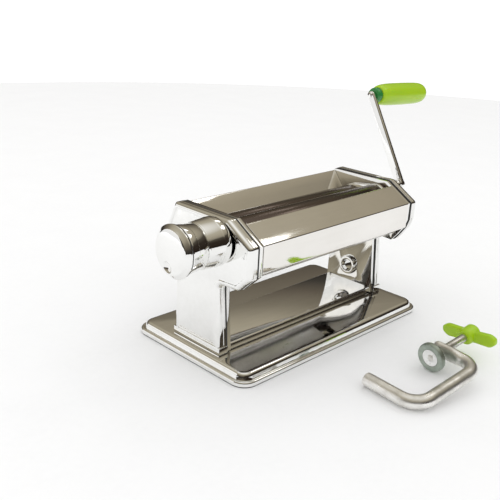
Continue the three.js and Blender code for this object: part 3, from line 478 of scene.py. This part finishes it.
def make_base():
    """Pressed pan: rolled lip, ledge, a narrow groove, a second rise with a soft shoulder and a flat top."""
    low, high = limits("base_plate")
    corners = [(low.x, low.y), (high.x, low.y), (high.x, high.y), (low.x, high.y)]
    top = high.z
    levels = [
        (top - 1.2, 8, 7), (4.2, 7.4, 7), (3.6, 1.4, 11.8), (low.z + 0.1, 1.2, 12), (low.z, 0.5, 12.6),
        (low.z + 0.3, 0.1, BASE_CORNER), (3.2, 0, BASE_CORNER), (4, 0.15, BASE_CORNER), (4.6, 0.6, 12.5),
        (4.95, 1.3, 12), (5, 2, 11.4), (4.85, 2.7, 10.8), (4.5, 3, 10.4), (4.5, 3.4, 10), (4.9, 3.6, 10),
        (7.2, 4.1, 9.6), (8.6, 4.6, 9), (9.6, 5.4, 8.4), (10.15, 6.4, 7.8), (top, 7.8, 7),
    ]
    bm = pressed_pan(corners, levels)
    bmesh.ops.transform(bm, matrix=ALONG_TO_UP, verts=bm.verts)
    piece(bm, "base_pan", "bright_chrome", "frame", "base_plate", sharp=38)
    # Black strip just above the table all round the rim: painted contact shadow, a dark line where the base
    # meets the table
    shade_strip = strip_round(corners, [(0.9, 0.7, 12.4), (0.02, 0.7, 12.4), (0.02, 2.4, 11), (0.9, 2.4, 11)])
    bmesh.ops.transform(shade_strip, matrix=ALONG_TO_UP, verts=shade_strip.verts)
    piece(shade_strip, "base_contact_shadow_strip", "foot_rubber", "frame")


def cover_outline(lower_front):
    """Leg and head outline, without the inner side: (y, z) points."""
    return [
        (-LEG_FRONT_FOOT, LEG_BOTTOM), (LEG_REAR + 1, LEG_BOTTOM), (LEG_REAR, UNDERSIDE - 4),
        (LEG_REAR + 3, UNDERSIDE - 0.8), (HEAD_REAR - 6, UNDERSIDE + 2), (HEAD_REAR, REAR_LOWER),
        (HEAD_TOP_REAR, HEAD_TOP), (-HEAD_TOP_FRONT, HEAD_TOP), (-HEAD_FRONT, FRONT_UPPER), *lower_front,
        (-LEG_FRONT_TOP - 3, UNDERSIDE - 0.8), (-LEG_FRONT_TOP, UNDERSIDE - 4),
    ]


CHAMFERED_FRONT = [(-HEAD_FRONT, FRONT_LOWER), (-UNDERSIDE_HALF, UNDERSIDE)]
ROUNDED_FRONT = [
    (-HEAD_FRONT, FRONT_LOWER + 9), (-HEAD_FRONT + 2.5, FRONT_LOWER + 1), (-HEAD_FRONT + 8, FRONT_LOWER - 7),
    (-UNDERSIDE_HALF + 1, UNDERSIDE - 1.6),
]


def end_cover(lower_front, inner, outer):
    """Deep pressed pan: wall with a rolled groove, a rounded shoulder and a face pressed in a little."""
    round_off = CORNER_ROUND
    rim = inner + SEAM
    return pressed_pan(cover_outline(lower_front), [
        (outer - 1.5, 2.2, 0.5), (rim + 0.2, 1.3, 0.8), (rim, 0.9, 1), (rim, 0.3, round_off),
        (rim + 0.3, 0, round_off), (rim + 2.2, 0, round_off), (rim + 2.5, 0.4, round_off),
        (rim + 3.1, 0.4, round_off), (rim + 3.4, 0, round_off), (outer - 3, 0, round_off),
        (outer - 2.1, 0.25, round_off), (outer - 1.3, 0.8, round_off), (outer - 0.6, 1.6, 1.4),
        (outer - 0.15, 2.6, 1.3), (outer, 3.4, 1.2), (outer - 0.1, 4, 1.2), (outer - 0.8, 4.5, 1.2),
        (outer - 0.95, 5.2, 1.2), (outer - 0.7, 6, 1.2),
    ])


def cover_shadow_line(lower_front, inner):
    """Black strip squeezed between the pan and the side plate, all round the outline: painted shade, a dark
    line standing in for the shadow gap there.
    """
    start, end = inner - 0.2, inner + SEAM - 0.05
    return strip_round(cover_outline(lower_front), [
        (start, 0.1, CORNER_ROUND), (start, 2, 0.5), (end, 2, 0.5), (end, 0.1, CORNER_ROUND)])


def make_covers():
    """Both end covers with their holes and the black strips of painted shade along their edges, the mark
    above the knob and the legs inside them.
    """
    right_low, right_high = limits("end_cover_right")
    inner, outer = right_low.x, right_high.x
    knob, drive = pivot("thickness_turn"), pivot("drive_turn")
    socket_low, socket_high = limits("clamp_socket")
    socket = (socket_low + socket_high) / 2
    socket_hole = (socket_high.z - socket_low.z) / 2 - 1.6
    # black strips of painted shade where the covers meet the side plates
    piece(flipped(cover_shadow_line(CHAMFERED_FRONT, inner)), "cover_shadow_line_left", "foot_rubber", "frame")
    piece(cover_shadow_line(ROUNDED_FRONT, inner), "cover_shadow_line_right", "foot_rubber", "frame")
    left = flipped(end_cover(CHAMFERED_FRONT, inner, outer))
    holes = [rod(SPINDLE_RADIUS + 0.3, -outer - 5, -inner + 5, knob.y, knob.z)]
    for setting in range(SETTINGS):
        angle = (setting - SETTINGS // 2) * SETTING_STEP
        y, z = knob.y + INDEX_RADIUS * math.sin(angle), knob.z + INDEX_RADIUS * math.cos(angle)
        holes.append(rod(INDEX_PIN_RADIUS + 0.2, -outer - 5, -inner + 5, y, z, 16))
    piece(left, "end_cover_pan_left", "bright_chrome", "frame", "end_cover_left", holes=holes)
    right = end_cover(ROUNDED_FRONT, inner, outer)
    piece(right, "end_cover_pan_right", "bright_chrome", "frame", "end_cover_right",
          holes=[rod(SHAFT_RADIUS + 1.5, inner - 5, outer + 5, drive.y, drive.z),
                 rod(socket_hole, inner - 5, outer + 5, socket.y, socket.z)])
    mark = turned([(-outer - 0.95, 0), (-outer - 0.8, 1), (-outer - 0.3, 1.9), (-outer + 0.6, 2.2)], 32)
    bmesh.ops.translate(mark, vec=(0, drive.y, drive.z + 12), verts=mark.verts)
    piece(mark, "index_mark", "bright_chrome", "frame", sharp=60)
    for side, name in ((-1, "left"), (1, "right")):
        refined(f"side_plate_{name}", f"side_frame_{name}", "bright_chrome", "frame", 0.5)
        make_leg_band(name, side, inner, outer)


def make_leg_band(name, side, inner, outer):
    """Raised strip round the foot of a leg."""
    grow = 0.35
    front, rear = -LEG_FRONT_FOOT - grow, LEG_REAR + 1 + grow
    top = LEG_BOTTOM + BAND_HEIGHT
    points = [(front, LEG_BOTTOM), (rear, LEG_BOTTOM), (rear, top), (front, top)]
    bm = slab(points, inner - 0.1, outer - 0.05, 0, 0.5)
    if side < 0:
        flipped(bm)
    piece(bm, f"leg_band_{name}", "bright_chrome", "frame")


def make_sheets():
    """Front sheet with its lip into the hopper, and the rear sheet with its ridge."""
    half = limits("front_cover")[1].x
    roller = pivot("front_roller_turn")
    front = [
        (-HEAD_FRONT + 6, FRONT_LOWER + 0.5), (-HEAD_FRONT + 1, FRONT_LOWER + 1.5),
        (-HEAD_FRONT, FRONT_LOWER + 3), (-HEAD_FRONT, FRONT_UPPER),
        (-HEAD_TOP_FRONT - 6.2, HEAD_TOP - 3.8), (-HEAD_TOP_FRONT - 4.5, HEAD_TOP - 3.8),
        (roller.y - ROLLER_RADIUS - 2.6, roller.z + 4.9),
    ]
    piece(bent_sheet(front, half, 0.8, 0.7), "front_sheet", "cover_chrome", "frame", "front_cover")
    rear_roller = pivot("drive_turn")
    rear = [
        (rear_roller.y + 14, rear_roller.z + 5.8), (rear_roller.y + 19.9, rear_roller.z + 13.5),
        (HEAD_TOP_REAR - 1, HEAD_TOP - 2), (HEAD_TOP_REAR + 0.6, HEAD_TOP - 2.4),
        (HEAD_REAR - 0.6, REAR_LOWER + 1), (HEAD_REAR - 5, REAR_LOWER - 2),
    ]
    piece(bent_sheet(rear, half, 0.8, 0.6), "rear_sheet", "cover_chrome", "frame", "rear_cover")


def make_socket():
    """Flanged collar for the clamp bar, through the crank-side leg."""
    low, high = limits("clamp_socket")
    middle = (low + high) / 2
    bore = ROD_RADIUS + 0.4
    outer = ROD_RADIUS + 2.2
    inner_face = low.x
    plate = inner_face + 2.3
    profile = [
        (inner_face, bore + 0.5), (inner_face, outer + 1), (plate, outer + 1.8), (plate, outer),
        (high.x - 0.7, outer), (high.x, outer - 0.6), (high.x, bore), (inner_face + 0.6, bore),
    ]
    bm = turned(profile, 72, True, 0.25)
    piece(bm, "clamp_bar_socket", "bright_chrome", "frame", "clamp_socket",
          place=Matrix.Translation((0, middle.y, middle.z)))


# ---------------------------------------------------------------- rollers, knob and crank


def make_channel_screw():
    """Domed screw head on the floor channel, by the crank-side leg."""
    top = limits("chassis_floor")[1].z
    head = turned([(0, 0), (0, 3.6), (0.5, 3.5), (1.5, 2.9), (2.2, 1.8), (2.5, 0.6), (2.5, 0)], 40)
    upright = Matrix.Rotation(-math.pi / 2, 4, "Y")
    place = Matrix.Translation((*CHANNEL_SCREW, top - 0.1)) @ upright
    piece(head, "channel_screw", "plain_steel", "frame", place=place, sharp=60)


def make_rollers():
    """The driven roller with the socket for the crank, and the hollow one that the adjuster runs through."""
    half = limits("scraper_rear")[1].x + 4
    body = [(-half, JOURNAL_RADIUS), (-half, ROLLER_RADIUS), (half, ROLLER_RADIUS), (half, JOURNAL_RADIUS)]
    drive, front = pivot("drive_turn"), pivot("front_roller_turn")
    low, high = limits("rear_roller")
    socket_end = high.x - HEX_DEPTH - 2
    profile = [
        (low.x, 0), (low.x, JOURNAL_RADIUS), *body, (high.x, JOURNAL_RADIUS), (high.x, HEX_BORE),
        (socket_end, HEX_BORE), (socket_end, 0),
    ]
    piece(turned(profile, 96, width=0.3), "smooth_roller_rear", "roller_chrome", "drive_roller",
          "rear_roller", place=Matrix.Translation((0, drive.y, drive.z)))
    low, high = limits("front_roller")
    profile = [
        (low.x, ROLLER_BORE), (low.x, JOURNAL_RADIUS), *body, (high.x, JOURNAL_RADIUS), (high.x, ROLLER_BORE),
    ]
    piece(turned(profile, 96, True, 0.3), "smooth_roller_front", "roller_chrome", "front_roller",
          "front_roller", place=Matrix.Translation((0, front.y, front.z)))


def make_knob():
    """Waisted barrel, its pressed cap with a finger dimple, and the index pin behind."""
    axis = pivot("thickness_turn")
    place = Matrix.Translation((0, axis.y, axis.z))
    end = limits("knob_cap")[0].x
    seat = limits("knob")[0].x
    face = -limits("end_cover_right")[1].x - KNOB_STANDOFF
    waist = seat + 15.5
    barrel = [
        (seat, 12.3), (seat, KNOB_RADIUS - 0.9), (seat + 0.6, KNOB_RADIUS - 0.2), (seat + 1.4, KNOB_RADIUS),
        (seat + 6.8, KNOB_RADIUS - 0.5), (seat + 7.2, KNOB_RADIUS - 0.8), (waist, KNOB_WAIST + 0.2),
        (waist, KNOB_WAIST - 0.8), (waist + 0.6, KNOB_WAIST - 0.8), (waist + 0.6, KNOB_WAIST + 0.2),
        (waist + 2.4, KNOB_WAIST + 0.2), (waist + 2.6, KNOB_WAIST + 0.4), (face - 8, KNOB_FOOT - 0.2),
        (face - 7, KNOB_FOOT), (face - 3.5, KNOB_FOOT), (face - 1.2, KNOB_FOOT - 0.4),
        (face - 0.3, KNOB_FOOT - 1.2), (face, KNOB_FOOT - 2.4), (face, 12.5), (face - 5, 12.5),
        (face - 5, SPINDLE_RADIUS + 0.2), (face - 7, SPINDLE_RADIUS + 0.2), (face - 7, 12.3),
    ]
    bm = turned(barrel, 128, True)
    soften(bm, 0.2, 2, 5)
    pin = turned([(face - 5.2, 0), (face - 5.2, INDEX_PIN_RADIUS), (face + 0.6, INDEX_PIN_RADIUS),
                  (face + 1, INDEX_PIN_RADIUS - 0.5), (face + 1, 0)], 24)
    bmesh.ops.translate(pin, vec=(0, 0, INDEX_RADIUS), verts=pin.verts)
    add_to(bm, pin)
    piece(bm, "knob_barrel", "bright_chrome", "knob", "knob", place=place, sharp=40)

    dome = [
        (end, 0), (end + 0.08, 3.5), (end + 0.3, 7), (end + 0.58, 10), (end + 0.95, 12.8), (end + 1.4, 15.2),
        (end + 1.75, 16.6), (end + 2.1, 17.4), (end + 2.5, 17.7), (end + 4.6, KNOB_RIM - 0.4),
        (end + 5, KNOB_RIM), (seat - 1.6, KNOB_RIM), (seat - 1.2, KNOB_RIM - 0.3), (seat - 1.2, 11.8),
        (seat - 0.25, 11.8), (seat - 0.25, 0),
    ]
    cap = turned(dome, 128, width=0.15)
    ball = (DIMPLE_RADIUS ** 2 + DIMPLE_DEPTH ** 2) / (2 * DIMPLE_DEPTH)
    centre = (end + 0.9 + DIMPLE_DEPTH - ball, axis.y + DIMPLE_OFFSET[0], axis.z + DIMPLE_OFFSET[1])
    dimple = bmesh.new()
    bmesh.ops.create_uvsphere(dimple, u_segments=64, v_segments=40, radius=ball,
                              matrix=Matrix.Translation(centre))
    piece(cap, "knob_cap_disc", "bright_chrome", "knob", "knob_cap", place=place, holes=[dimple], sharp=28)
    make_cap_shadow_line(place, seat)


def make_cap_shadow_line(place, seat):
    """Thin black ring between the cap and the barrel: painted shade, a dark line standing in for the shadow
    at the cap's rim.
    """
    start, end, edge = seat - 1.15, seat - 0.45, KNOB_RIM - 0.25
    shade_strip = turned([(start, 12), (start, edge), (end, edge), (end, 12)], 96, True, 0.1)
    piece(shade_strip, "cap_shadow_line", "foot_rubber", "knob", place=place)


def crank_place():
    """The crank arm's own frame: hub at its origin, X outwards, Z along the arm."""
    grip = pivot("grip_turn")
    outwards = Vector(JOINTS["grip_turn"]["axis"]).normalized()
    drive = pivot("drive_turn")
    rise = Vector((0, grip.y - drive.y, grip.z - drive.z))
    hub_x = grip.x + outwards.dot(rise) / outwards.x
    hub = Vector((hub_x, drive.y, drive.z))
    along = (grip - hub).normalized()
    across = along.cross(outwards)
    turn = Matrix((outwards, across, along)).transposed().to_4x4()
    return hub, Matrix.Translation(hub) @ turn, Matrix.Translation(grip) @ turn


def make_crank():
    """The arm, the shaft with its hexagonal end, the grip's pin, its collar and the grip."""
    hub, place, grip_place = crank_place()
    half = ARM_THICKNESS / 2
    wide, narrow = ARM_WIDTH / 2, ARM_WIDTH / 2 - 0.6
    tip = CRANK_LENGTH + narrow
    corners = [(-wide, -wide), (wide, -wide), (narrow, tip), (-narrow, tip)]
    bm = slab(corners, -half, half, narrow * 0.96, segments=10)
    soften(bm, 1.3, 3, 40)
    piece(bm, "crank_bar", "bright_chrome", "crank", "crank_arm", place=place)

    low = limits("crank_shaft")[0]
    round_start = low.x + HEX_DEPTH + 0.5
    face_x = hub.x - half - 0.3
    end = hub.x + half + 2
    shaft = turned([
        (round_start, 0), (round_start, SHAFT_RADIUS - 0.5), (round_start + 0.5, SHAFT_RADIUS),
        (face_x - 3, SHAFT_RADIUS), (face_x - 3, SHAFT_RADIUS + 1.5), (face_x, SHAFT_RADIUS + 1.5),
        (face_x, 3), (hub.x + half + 0.3, 3), (hub.x + half + 0.3, 4.2), (end - 0.5, 3.6), (end, 2.4),
        (end, 0),
    ], 64, width=0.2)
    hexagon = bmesh.new()
    radius = HEX_ACROSS / 2 / math.cos(math.pi / 6)
    middle = Matrix.Translation(((round_start + low.x) / 2, 0, 0))
    bmesh.ops.create_cone(hexagon, cap_ends=True, segments=6, radius1=radius, radius2=radius,
                          depth=round_start - low.x + 1, matrix=middle @ Matrix.Rotation(math.pi / 2, 4, "Y"))
    soften(hexagon, 0.3, 1)
    add_to(shaft, hexagon)
    piece(shaft, "crank_spindle", "bright_chrome", "crank", "crank_shaft",
          place=Matrix.Translation((0, hub.y, hub.z)))

    end = GRIP_START + GRIP_LENGTH
    pin = turned([
        (-half - 1.5, 0), (-half - 1.3, 1.4), (-half - 0.7, 2.5), (-half + 0.2, 3.2), (-half + 0.2, 2.2),
        (half + 0.1, 2.2), (half + 0.1, 3), (end - 12, 3), (end - 12, 0),
    ], 48, width=0.1)
    piece(pin, "grip_rivet", "bright_chrome", "crank", "grip_pin", place=grip_place, sharp=50)
    collar = turned([
        (half + 0.3, 3.2), (half + 0.3, 6), (half + 0.9, 6.9), (half + 2.2, 7.5), (half + 5.4, 7.8),
        (GRIP_START - 0.4, 7.8), (GRIP_START - 0.4, 3.2),
    ], 64, True, 0.25)
    piece(collar, "grip_collar", "green_plastic", "crank_grip", "grip_ferrule", place=grip_place, sharp=50)
    handle = turned([
        (GRIP_START, 3.3), (GRIP_START, 7.9), (GRIP_START + 0.2, 8.6), (GRIP_START + 1.6, 9.7),
        (GRIP_START + 6, 10.7), (GRIP_START + 12, 11.25), (GRIP_START + 22, 11.6),
        (GRIP_START + 34, GRIP_RADIUS), (end - 26, 11.6), (end - 14, 11.3), (end - 8, 10.8),
        (end - 4, 9.4), (end - 1.6, 7.2), (end - 0.3, 4), (end, 1.2), (end, 0),
        (end - 11, 0), (end - 11, 3.3),
    ], 48)
    made = piece(handle, "grip_handle", "lime_plastic", "crank_grip", "grip", place=grip_place, sharp=60)
    smooth = made.modifiers.new("smooth", "SUBSURF")
    smooth.levels = smooth.render_levels = 1


# ---------------------------------------------------------------- clamp


def clamp_places():
    """The clamp's own frame, with X along the spine and Y along its arms, and the screw's frame."""
    turn = Matrix.Rotation(math.radians(CLAMP_TURN[0]), 4, "X") @ Matrix.Rotation(
        math.radians(CLAMP_TURN[1]), 4, "Y") @ Matrix.Rotation(math.radians(CLAMP_TURN[2]), 4, "Z")
    screw = pivot("screw_turn")
    corner = screw - turn @ Vector((ROD_SPINE, SCREW_OFFSET, 0))
    return Matrix.Translation(corner) @ turn, Matrix.Translation(screw) @ turn


def pushed(bm, face, shift, squash=(1, 1, 1), about=(0, 0, 0)):
    """Carries the end face of a bar on by one straight length, changing its section on the way."""
    made = bmesh.ops.extrude_face_region(bm, geom=[face])
    verts = [item for item in made["geom"] if isinstance(item, bmesh.types.BMVert)]
    face = next(item for item in made["geom"] if isinstance(item, bmesh.types.BMFace))
    bmesh.ops.translate(bm, vec=shift, verts=verts)
    bmesh.ops.scale(bm, vec=squash, verts=verts, space=Matrix.Translation(-Vector(about)))
    return face


def bent(bm, face, middle):
    """Carries the end face of a bar round a quarter bend, towards the screw."""
    made = bmesh.ops.spin(bm, geom=[face], cent=middle, axis=(0, 0, 1), angle=math.pi / 2, steps=18)
    return next(item for item in made["geom_last"] if isinstance(item, bmesh.types.BMFace))


def make_clamp():
    """The bent bar, flattened a little where the screw passes, then the pad, the screw and the wing."""
    place, screw_place = clamp_places()
    bm = bmesh.new()
    start = Matrix.Translation((0, ROD_ARM, 0)) @ Matrix.Rotation(-math.pi / 2, 4, "X")
    bmesh.ops.create_circle(bm, cap_ends=True, radius=ROD_RADIUS - 0.8, segments=40, matrix=start)
    face = bm.faces[:][0]
    face = pushed(bm, face, (0, -0.8, 0), (ROD_RADIUS / (ROD_RADIUS - 0.8),) * 3, (0, ROD_ARM - 0.8, 0))
    face = pushed(bm, face, (0, -(ROD_ARM - 0.8 - ROD_BEND), 0))
    face = bent(bm, face, (ROD_BEND, ROD_BEND, 0))
    face = pushed(bm, face, (ROD_SPINE - 2 * ROD_BEND, 0, 0))
    face = bent(bm, face, (ROD_SPINE - ROD_BEND, ROD_BEND, 0))
    reach = ROD_BEND
    for length, thinner, wider in UPPER_ARM:
        reach += length
        face = pushed(bm, face, (0, length, 0), (thinner, 1, wider), (ROD_SPINE, reach, 0))
    bmesh.ops.recalc_face_normals(bm, faces=bm.faces)
    piece(bm, "clamp_bar", "clamp_zinc", "clamp", "clamp_rod", place=place, sharp=35)

    pad = turned([
        (PAD_FACE + 1.6, 0), (PAD_FACE + 1.6, 6.4), (PAD_FACE + 0.1, 7.4), (PAD_FACE, 8),
        (PAD_FACE, PAD_RADIUS - 1.4), (PAD_FACE + 0.4, PAD_RADIUS - 0.4), (PAD_FACE + 1.4, PAD_RADIUS),
        (PAD_BACK - 1.6, PAD_RADIUS), (PAD_BACK, PAD_RADIUS - 2), (PAD_BACK, 7), (PAD_BACK + 2, 6),
        (PAD_BACK + 2, 0),
    ], 96, width=0.15)
    piece(pad, "clamp_pad_disc", "pad_grey", "clamp_pad", "clamp_pad", place=screw_place, sharp=40)
    dish = turned([
        (PAD_FACE + 0.9, 0), (PAD_FACE + 0.9, 3.2), (PAD_FACE + 1.15, 3.6), (PAD_FACE + 1.15, 4.4),
        (PAD_FACE + 0.7, 5.6), (PAD_FACE + 0.15, 6.9), (PAD_FACE + 0.2, 7.1), (PAD_FACE + 1.7, 6.2),
        (PAD_FACE + 1.7, 0),
    ], 72)
    piece(dish, "pad_dish", "bright_chrome", "clamp_pad", place=screw_place, sharp=60)
    peen = turned([
        (PAD_FACE + 0.25, 0), (PAD_FACE + 0.35, 1), (PAD_FACE + 0.6, 1.3), (PAD_FACE + 0.3, 1.7),
        (PAD_FACE + 0.4, 2.3), (PAD_FACE + 0.95, 2.8), (PAD_FACE + 1.3, 2.8), (PAD_FACE + 1.3, 0),
    ], 48)
    piece(peen, "screw_peen", "clamp_zinc", "clamp_pad", place=screw_place, sharp=60)
    make_screw(screw_place)
    make_wing(screw_place)


def make_screw(place):
    """Clamp screw: a round thread as a row of turned ridges."""
    low, end = PAD_FACE + 2.7, WING_STANDOFF + WING_RADIUS - 3
    profile = [(low, 0), (low, SCREW_RADIUS - 0.5)]
    along = low + 0.6
    while along < end - SCREW_PITCH:
        profile += [(along, SCREW_RADIUS - 0.45), (along + SCREW_PITCH * 0.5, SCREW_RADIUS)]
        along += SCREW_PITCH
    profile += [(end, SCREW_RADIUS - 0.4), (end, 0)]
    piece(turned(profile, 48), "clamp_thread", "clamp_zinc", "clamp_screw", "clamp_screw",
          place=place, sharp=80)


def make_wing(place):
    """Moulded wing handle: a hub and two tapering wings blended into one skin."""
    hub = turned([
        (-WING_RADIUS + 0.2, 0), (-WING_RADIUS + 0.2, 5.4), (-WING_RADIUS + 2, 7), (WING_RADIUS - 3, 7.6),
        (WING_RADIUS - 0.8, 6), (WING_RADIUS - 0.2, 3), (WING_RADIUS - 0.2, 0)], 48)
    tip = WING_SPAN / 2 - 0.4
    outline = [
        (-tip, -2.5), (-tip + 5, -6.2), (-5, -5.6), (5, -5.6), (tip - 5, -6.2), (tip, -2.5),
        (tip, 2.5), (tip - 5, 5.2), (5, 4.6), (-5, 4.6), (-tip + 5, 5.2), (-tip, 2.5),
    ]
    blade = slab(outline, -2.6, 2.6, 1.6, 1.2)
    add_to(hub, blade)
    turn = Matrix.Translation((WING_STANDOFF, 0, 0)) @ Matrix.Rotation(math.radians(WING_TURN), 4, "X")
    made = as_object(hub, "wing_grip", place @ turn)
    skin = made.modifiers.new("skin", "REMESH")
    skin.mode = "VOXEL"
    skin.voxel_size = 0.45 * MM
    settle(made)
    bm = bmesh.new()
    bm.from_mesh(made.data)
    for _ in range(6):
        bmesh.ops.smooth_vert(bm, verts=bm.verts, factor=0.5,
                              use_axis_x=True, use_axis_y=True, use_axis_z=True)
    bm.to_mesh(made.data)
    bm.free()
    complete(made, "lime_plastic", "clamp_screw", "wing_handle", sharp=80)


# ---------------------------------------------------------------- frame nodes that stay


def finish_frame_nodes():
    """The frame nodes that keep their own shape get the finish of their slot."""
    slots = {row["node"]: row["material_slot"] for row in frame["record"]["subparts"]}
    for node, made in frame["nodes"].items():
        if not made.material_slots:
            made.data.materials.append(MATERIALS[slots[node]])
        for slot in made.material_slots:
            slot.material = MATERIALS[slots[node]]


# ---------------------------------------------------------------- camera, light and floor


def make_camera():
    """Camera to the left and in front, a little above the machine."""
    data = bpy.data.cameras.new("camera")
    data.lens = 52.46
    data.sensor_width = 36
    data.shift_x = 0.0253
    data.shift_y = 0.0074
    data.clip_start, data.clip_end = 0.01, 60
    yaw, pitch, roll = math.radians(44.755), math.radians(20.197), 0.044
    ahead = Vector((math.sin(yaw) * math.cos(pitch), math.cos(yaw) * math.cos(pitch), -math.sin(pitch)))
    level = Vector((math.cos(yaw), -math.sin(yaw), 0))
    upright = level.cross(ahead)
    right = math.cos(roll) * level + math.sin(roll) * upright
    up = math.cos(roll) * upright - math.sin(roll) * level
    made = bpy.data.objects.new("camera", data)
    turn = Matrix((right, up, -ahead)).transposed().to_4x4()
    made.matrix_world = Matrix.Translation(ORIGIN + MM * Vector((-463.13, -402.35, 287.69))) @ turn
    bpy.context.scene.collection.objects.link(made)
    bpy.context.scene.camera = made


def make_floor():
    """Pale matt table top."""
    bm = bmesh.new()
    bmesh.ops.create_circle(bm, cap_ends=True, radius=FLOOR_RADIUS, segments=96)
    mesh = bpy.data.meshes.new("table_top")
    bm.to_mesh(mesh)
    bm.free()
    made = bpy.data.objects.new("table_top", mesh)
    bpy.context.scene.collection.objects.link(made)
    finish = finish_of("table_white", (0.9, 0.9, 0.9), (0.87, 0.87, 0.87), (0.6, 0.8), metallic=0, ripple=0)
    mesh.materials.append(finish)


def ramp_of(tree, height, stops):
    """Colours by height above the horizon."""
    ramp = node_of(tree, "ShaderNodeValToRGB")
    while len(ramp.color_ramp.elements) < len(stops):
        ramp.color_ramp.elements.new(0.5)
    for element, (place, colour) in zip(ramp.color_ramp.elements, stops):
        element.position = place
        element.color = (*colour, 1)
    tree.links.new(height, ramp.inputs["Fac"])
    return ramp.outputs["Color"]


def make_world():
    """Bright even light, with a darker room in what the chrome mirrors."""
    world = bpy.data.worlds.new("studio")
    bpy.context.scene.world = world
    world.use_nodes = True
    tree = world.node_tree
    tree.nodes.clear()
    direction = node_of(tree, "ShaderNodeTexCoord").outputs["Generated"]
    split = node_of(tree, "ShaderNodeSeparateXYZ")
    tree.links.new(direction, split.inputs["Vector"])
    height = split.outputs["Z"]
    upper = [(0.6, (0.36, 0.32, 0.24)), (0.76, (0.45, 0.41, 0.32)), (1.0, (0.95, 0.94, 0.9))]
    far = ramp_of(tree, height, [(0.0, (0.03, 0.026, 0.022)), (0.1, (0.05, 0.044, 0.036)),
                                 (0.25, (0.12, 0.1, 0.075)), (0.42, (0.2, 0.175, 0.13)), *upper])
    near = ramp_of(tree, height, [(0.0, (0.02, 0.014, 0.01)), (0.3, (0.03, 0.022, 0.016)),
                                  (0.44, (0.07, 0.06, 0.045)), (0.52, (0.28, 0.25, 0.19)), *upper])
    side = node_of(tree, "ShaderNodeVectorMath", {1: (0.55, -0.83, 0)}, operation="DOT_PRODUCT")
    tree.links.new(direction, side.inputs[0])
    blend = node_of(tree, "ShaderNodeMix", data_type="RGBA")
    tree.links.new(between(tree, side.outputs["Value"], 0, 1, 0.1, 0.5), blend.inputs["Factor"])
    tree.links.new(far, blend.inputs["A"])
    tree.links.new(near, blend.inputs["B"])
    room = node_of(tree, "ShaderNodeBackground", {"Strength": 1.0})
    tree.links.new(blend.outputs["Result"], room.inputs["Color"])
    even = node_of(tree, "ShaderNodeBackground", {"Color": (1, 1, 1, 1), "Strength": EVEN_LIGHT})
    rays = node_of(tree, "ShaderNodeLightPath")
    mixed = node_of(tree, "ShaderNodeMixShader")
    tree.links.new(rays.outputs["Is Glossy Ray"], mixed.inputs["Fac"])
    tree.links.new(even.outputs["Background"], mixed.inputs[1])
    tree.links.new(room.outputs["Background"], mixed.inputs[2])
    output = node_of(tree, "ShaderNodeOutputWorld")
    tree.links.new(mixed.outputs["Shader"], output.inputs["Surface"])


def soft_box(name, place, target, width, height, brightness):
    """A rectangular soft light whose surface has the given brightness."""
    data = bpy.data.lights.new(name, "AREA")
    data.shape = "RECTANGLE"
    data.size, data.size_y = width, height
    data.energy = brightness * math.pi * width * height
    made = bpy.data.objects.new(name, data)
    made.location = place
    made.rotation_euler = (Vector(target) - Vector(place)).to_track_quat("-Z", "Y").to_euler()
    bpy.context.scene.collection.objects.link(made)


def make_lights():
    """A broad soft light from the left and two small ones that draw highlights on the round pieces."""
    soft_box("left_box", (-1.25, 1.1, 0.35), (-0.1, 0, 0.1), 1.5, 0.9, 0.85)
    soft_box("right_box", (0.62, -0.2, 0.98), (-0.1, 0, 0.1), 0.3, 0.16, 2.4)
    soft_box("rear_box", (0.6, 0.4, 0.95), (-0.1, 0, 0.1), 0.24, 0.12, 2.0)


for made in list(bpy.data.objects):
    if made.name in ("Cube", "Light", "Camera"):
        bpy.data.objects.remove(made)

make_camera()
make_materials()
finish_frame_nodes()
make_base()
make_covers()
make_sheets()
make_socket()
refined("chassis_floor", "floor_channel", "bright_chrome", "frame", 0.5)
refined("end_guide_left", "roller_cheek_left", "bright_chrome", "frame", 0.4)
refined("end_guide_right", "roller_cheek_right", "bright_chrome", "frame", 0.4)
make_channel_screw()
make_rollers()
make_knob()
make_crank()
make_clamp()
make_floor()
make_world()
make_lights()
bpy.context.scene.view_settings.view_transform = "Standard"
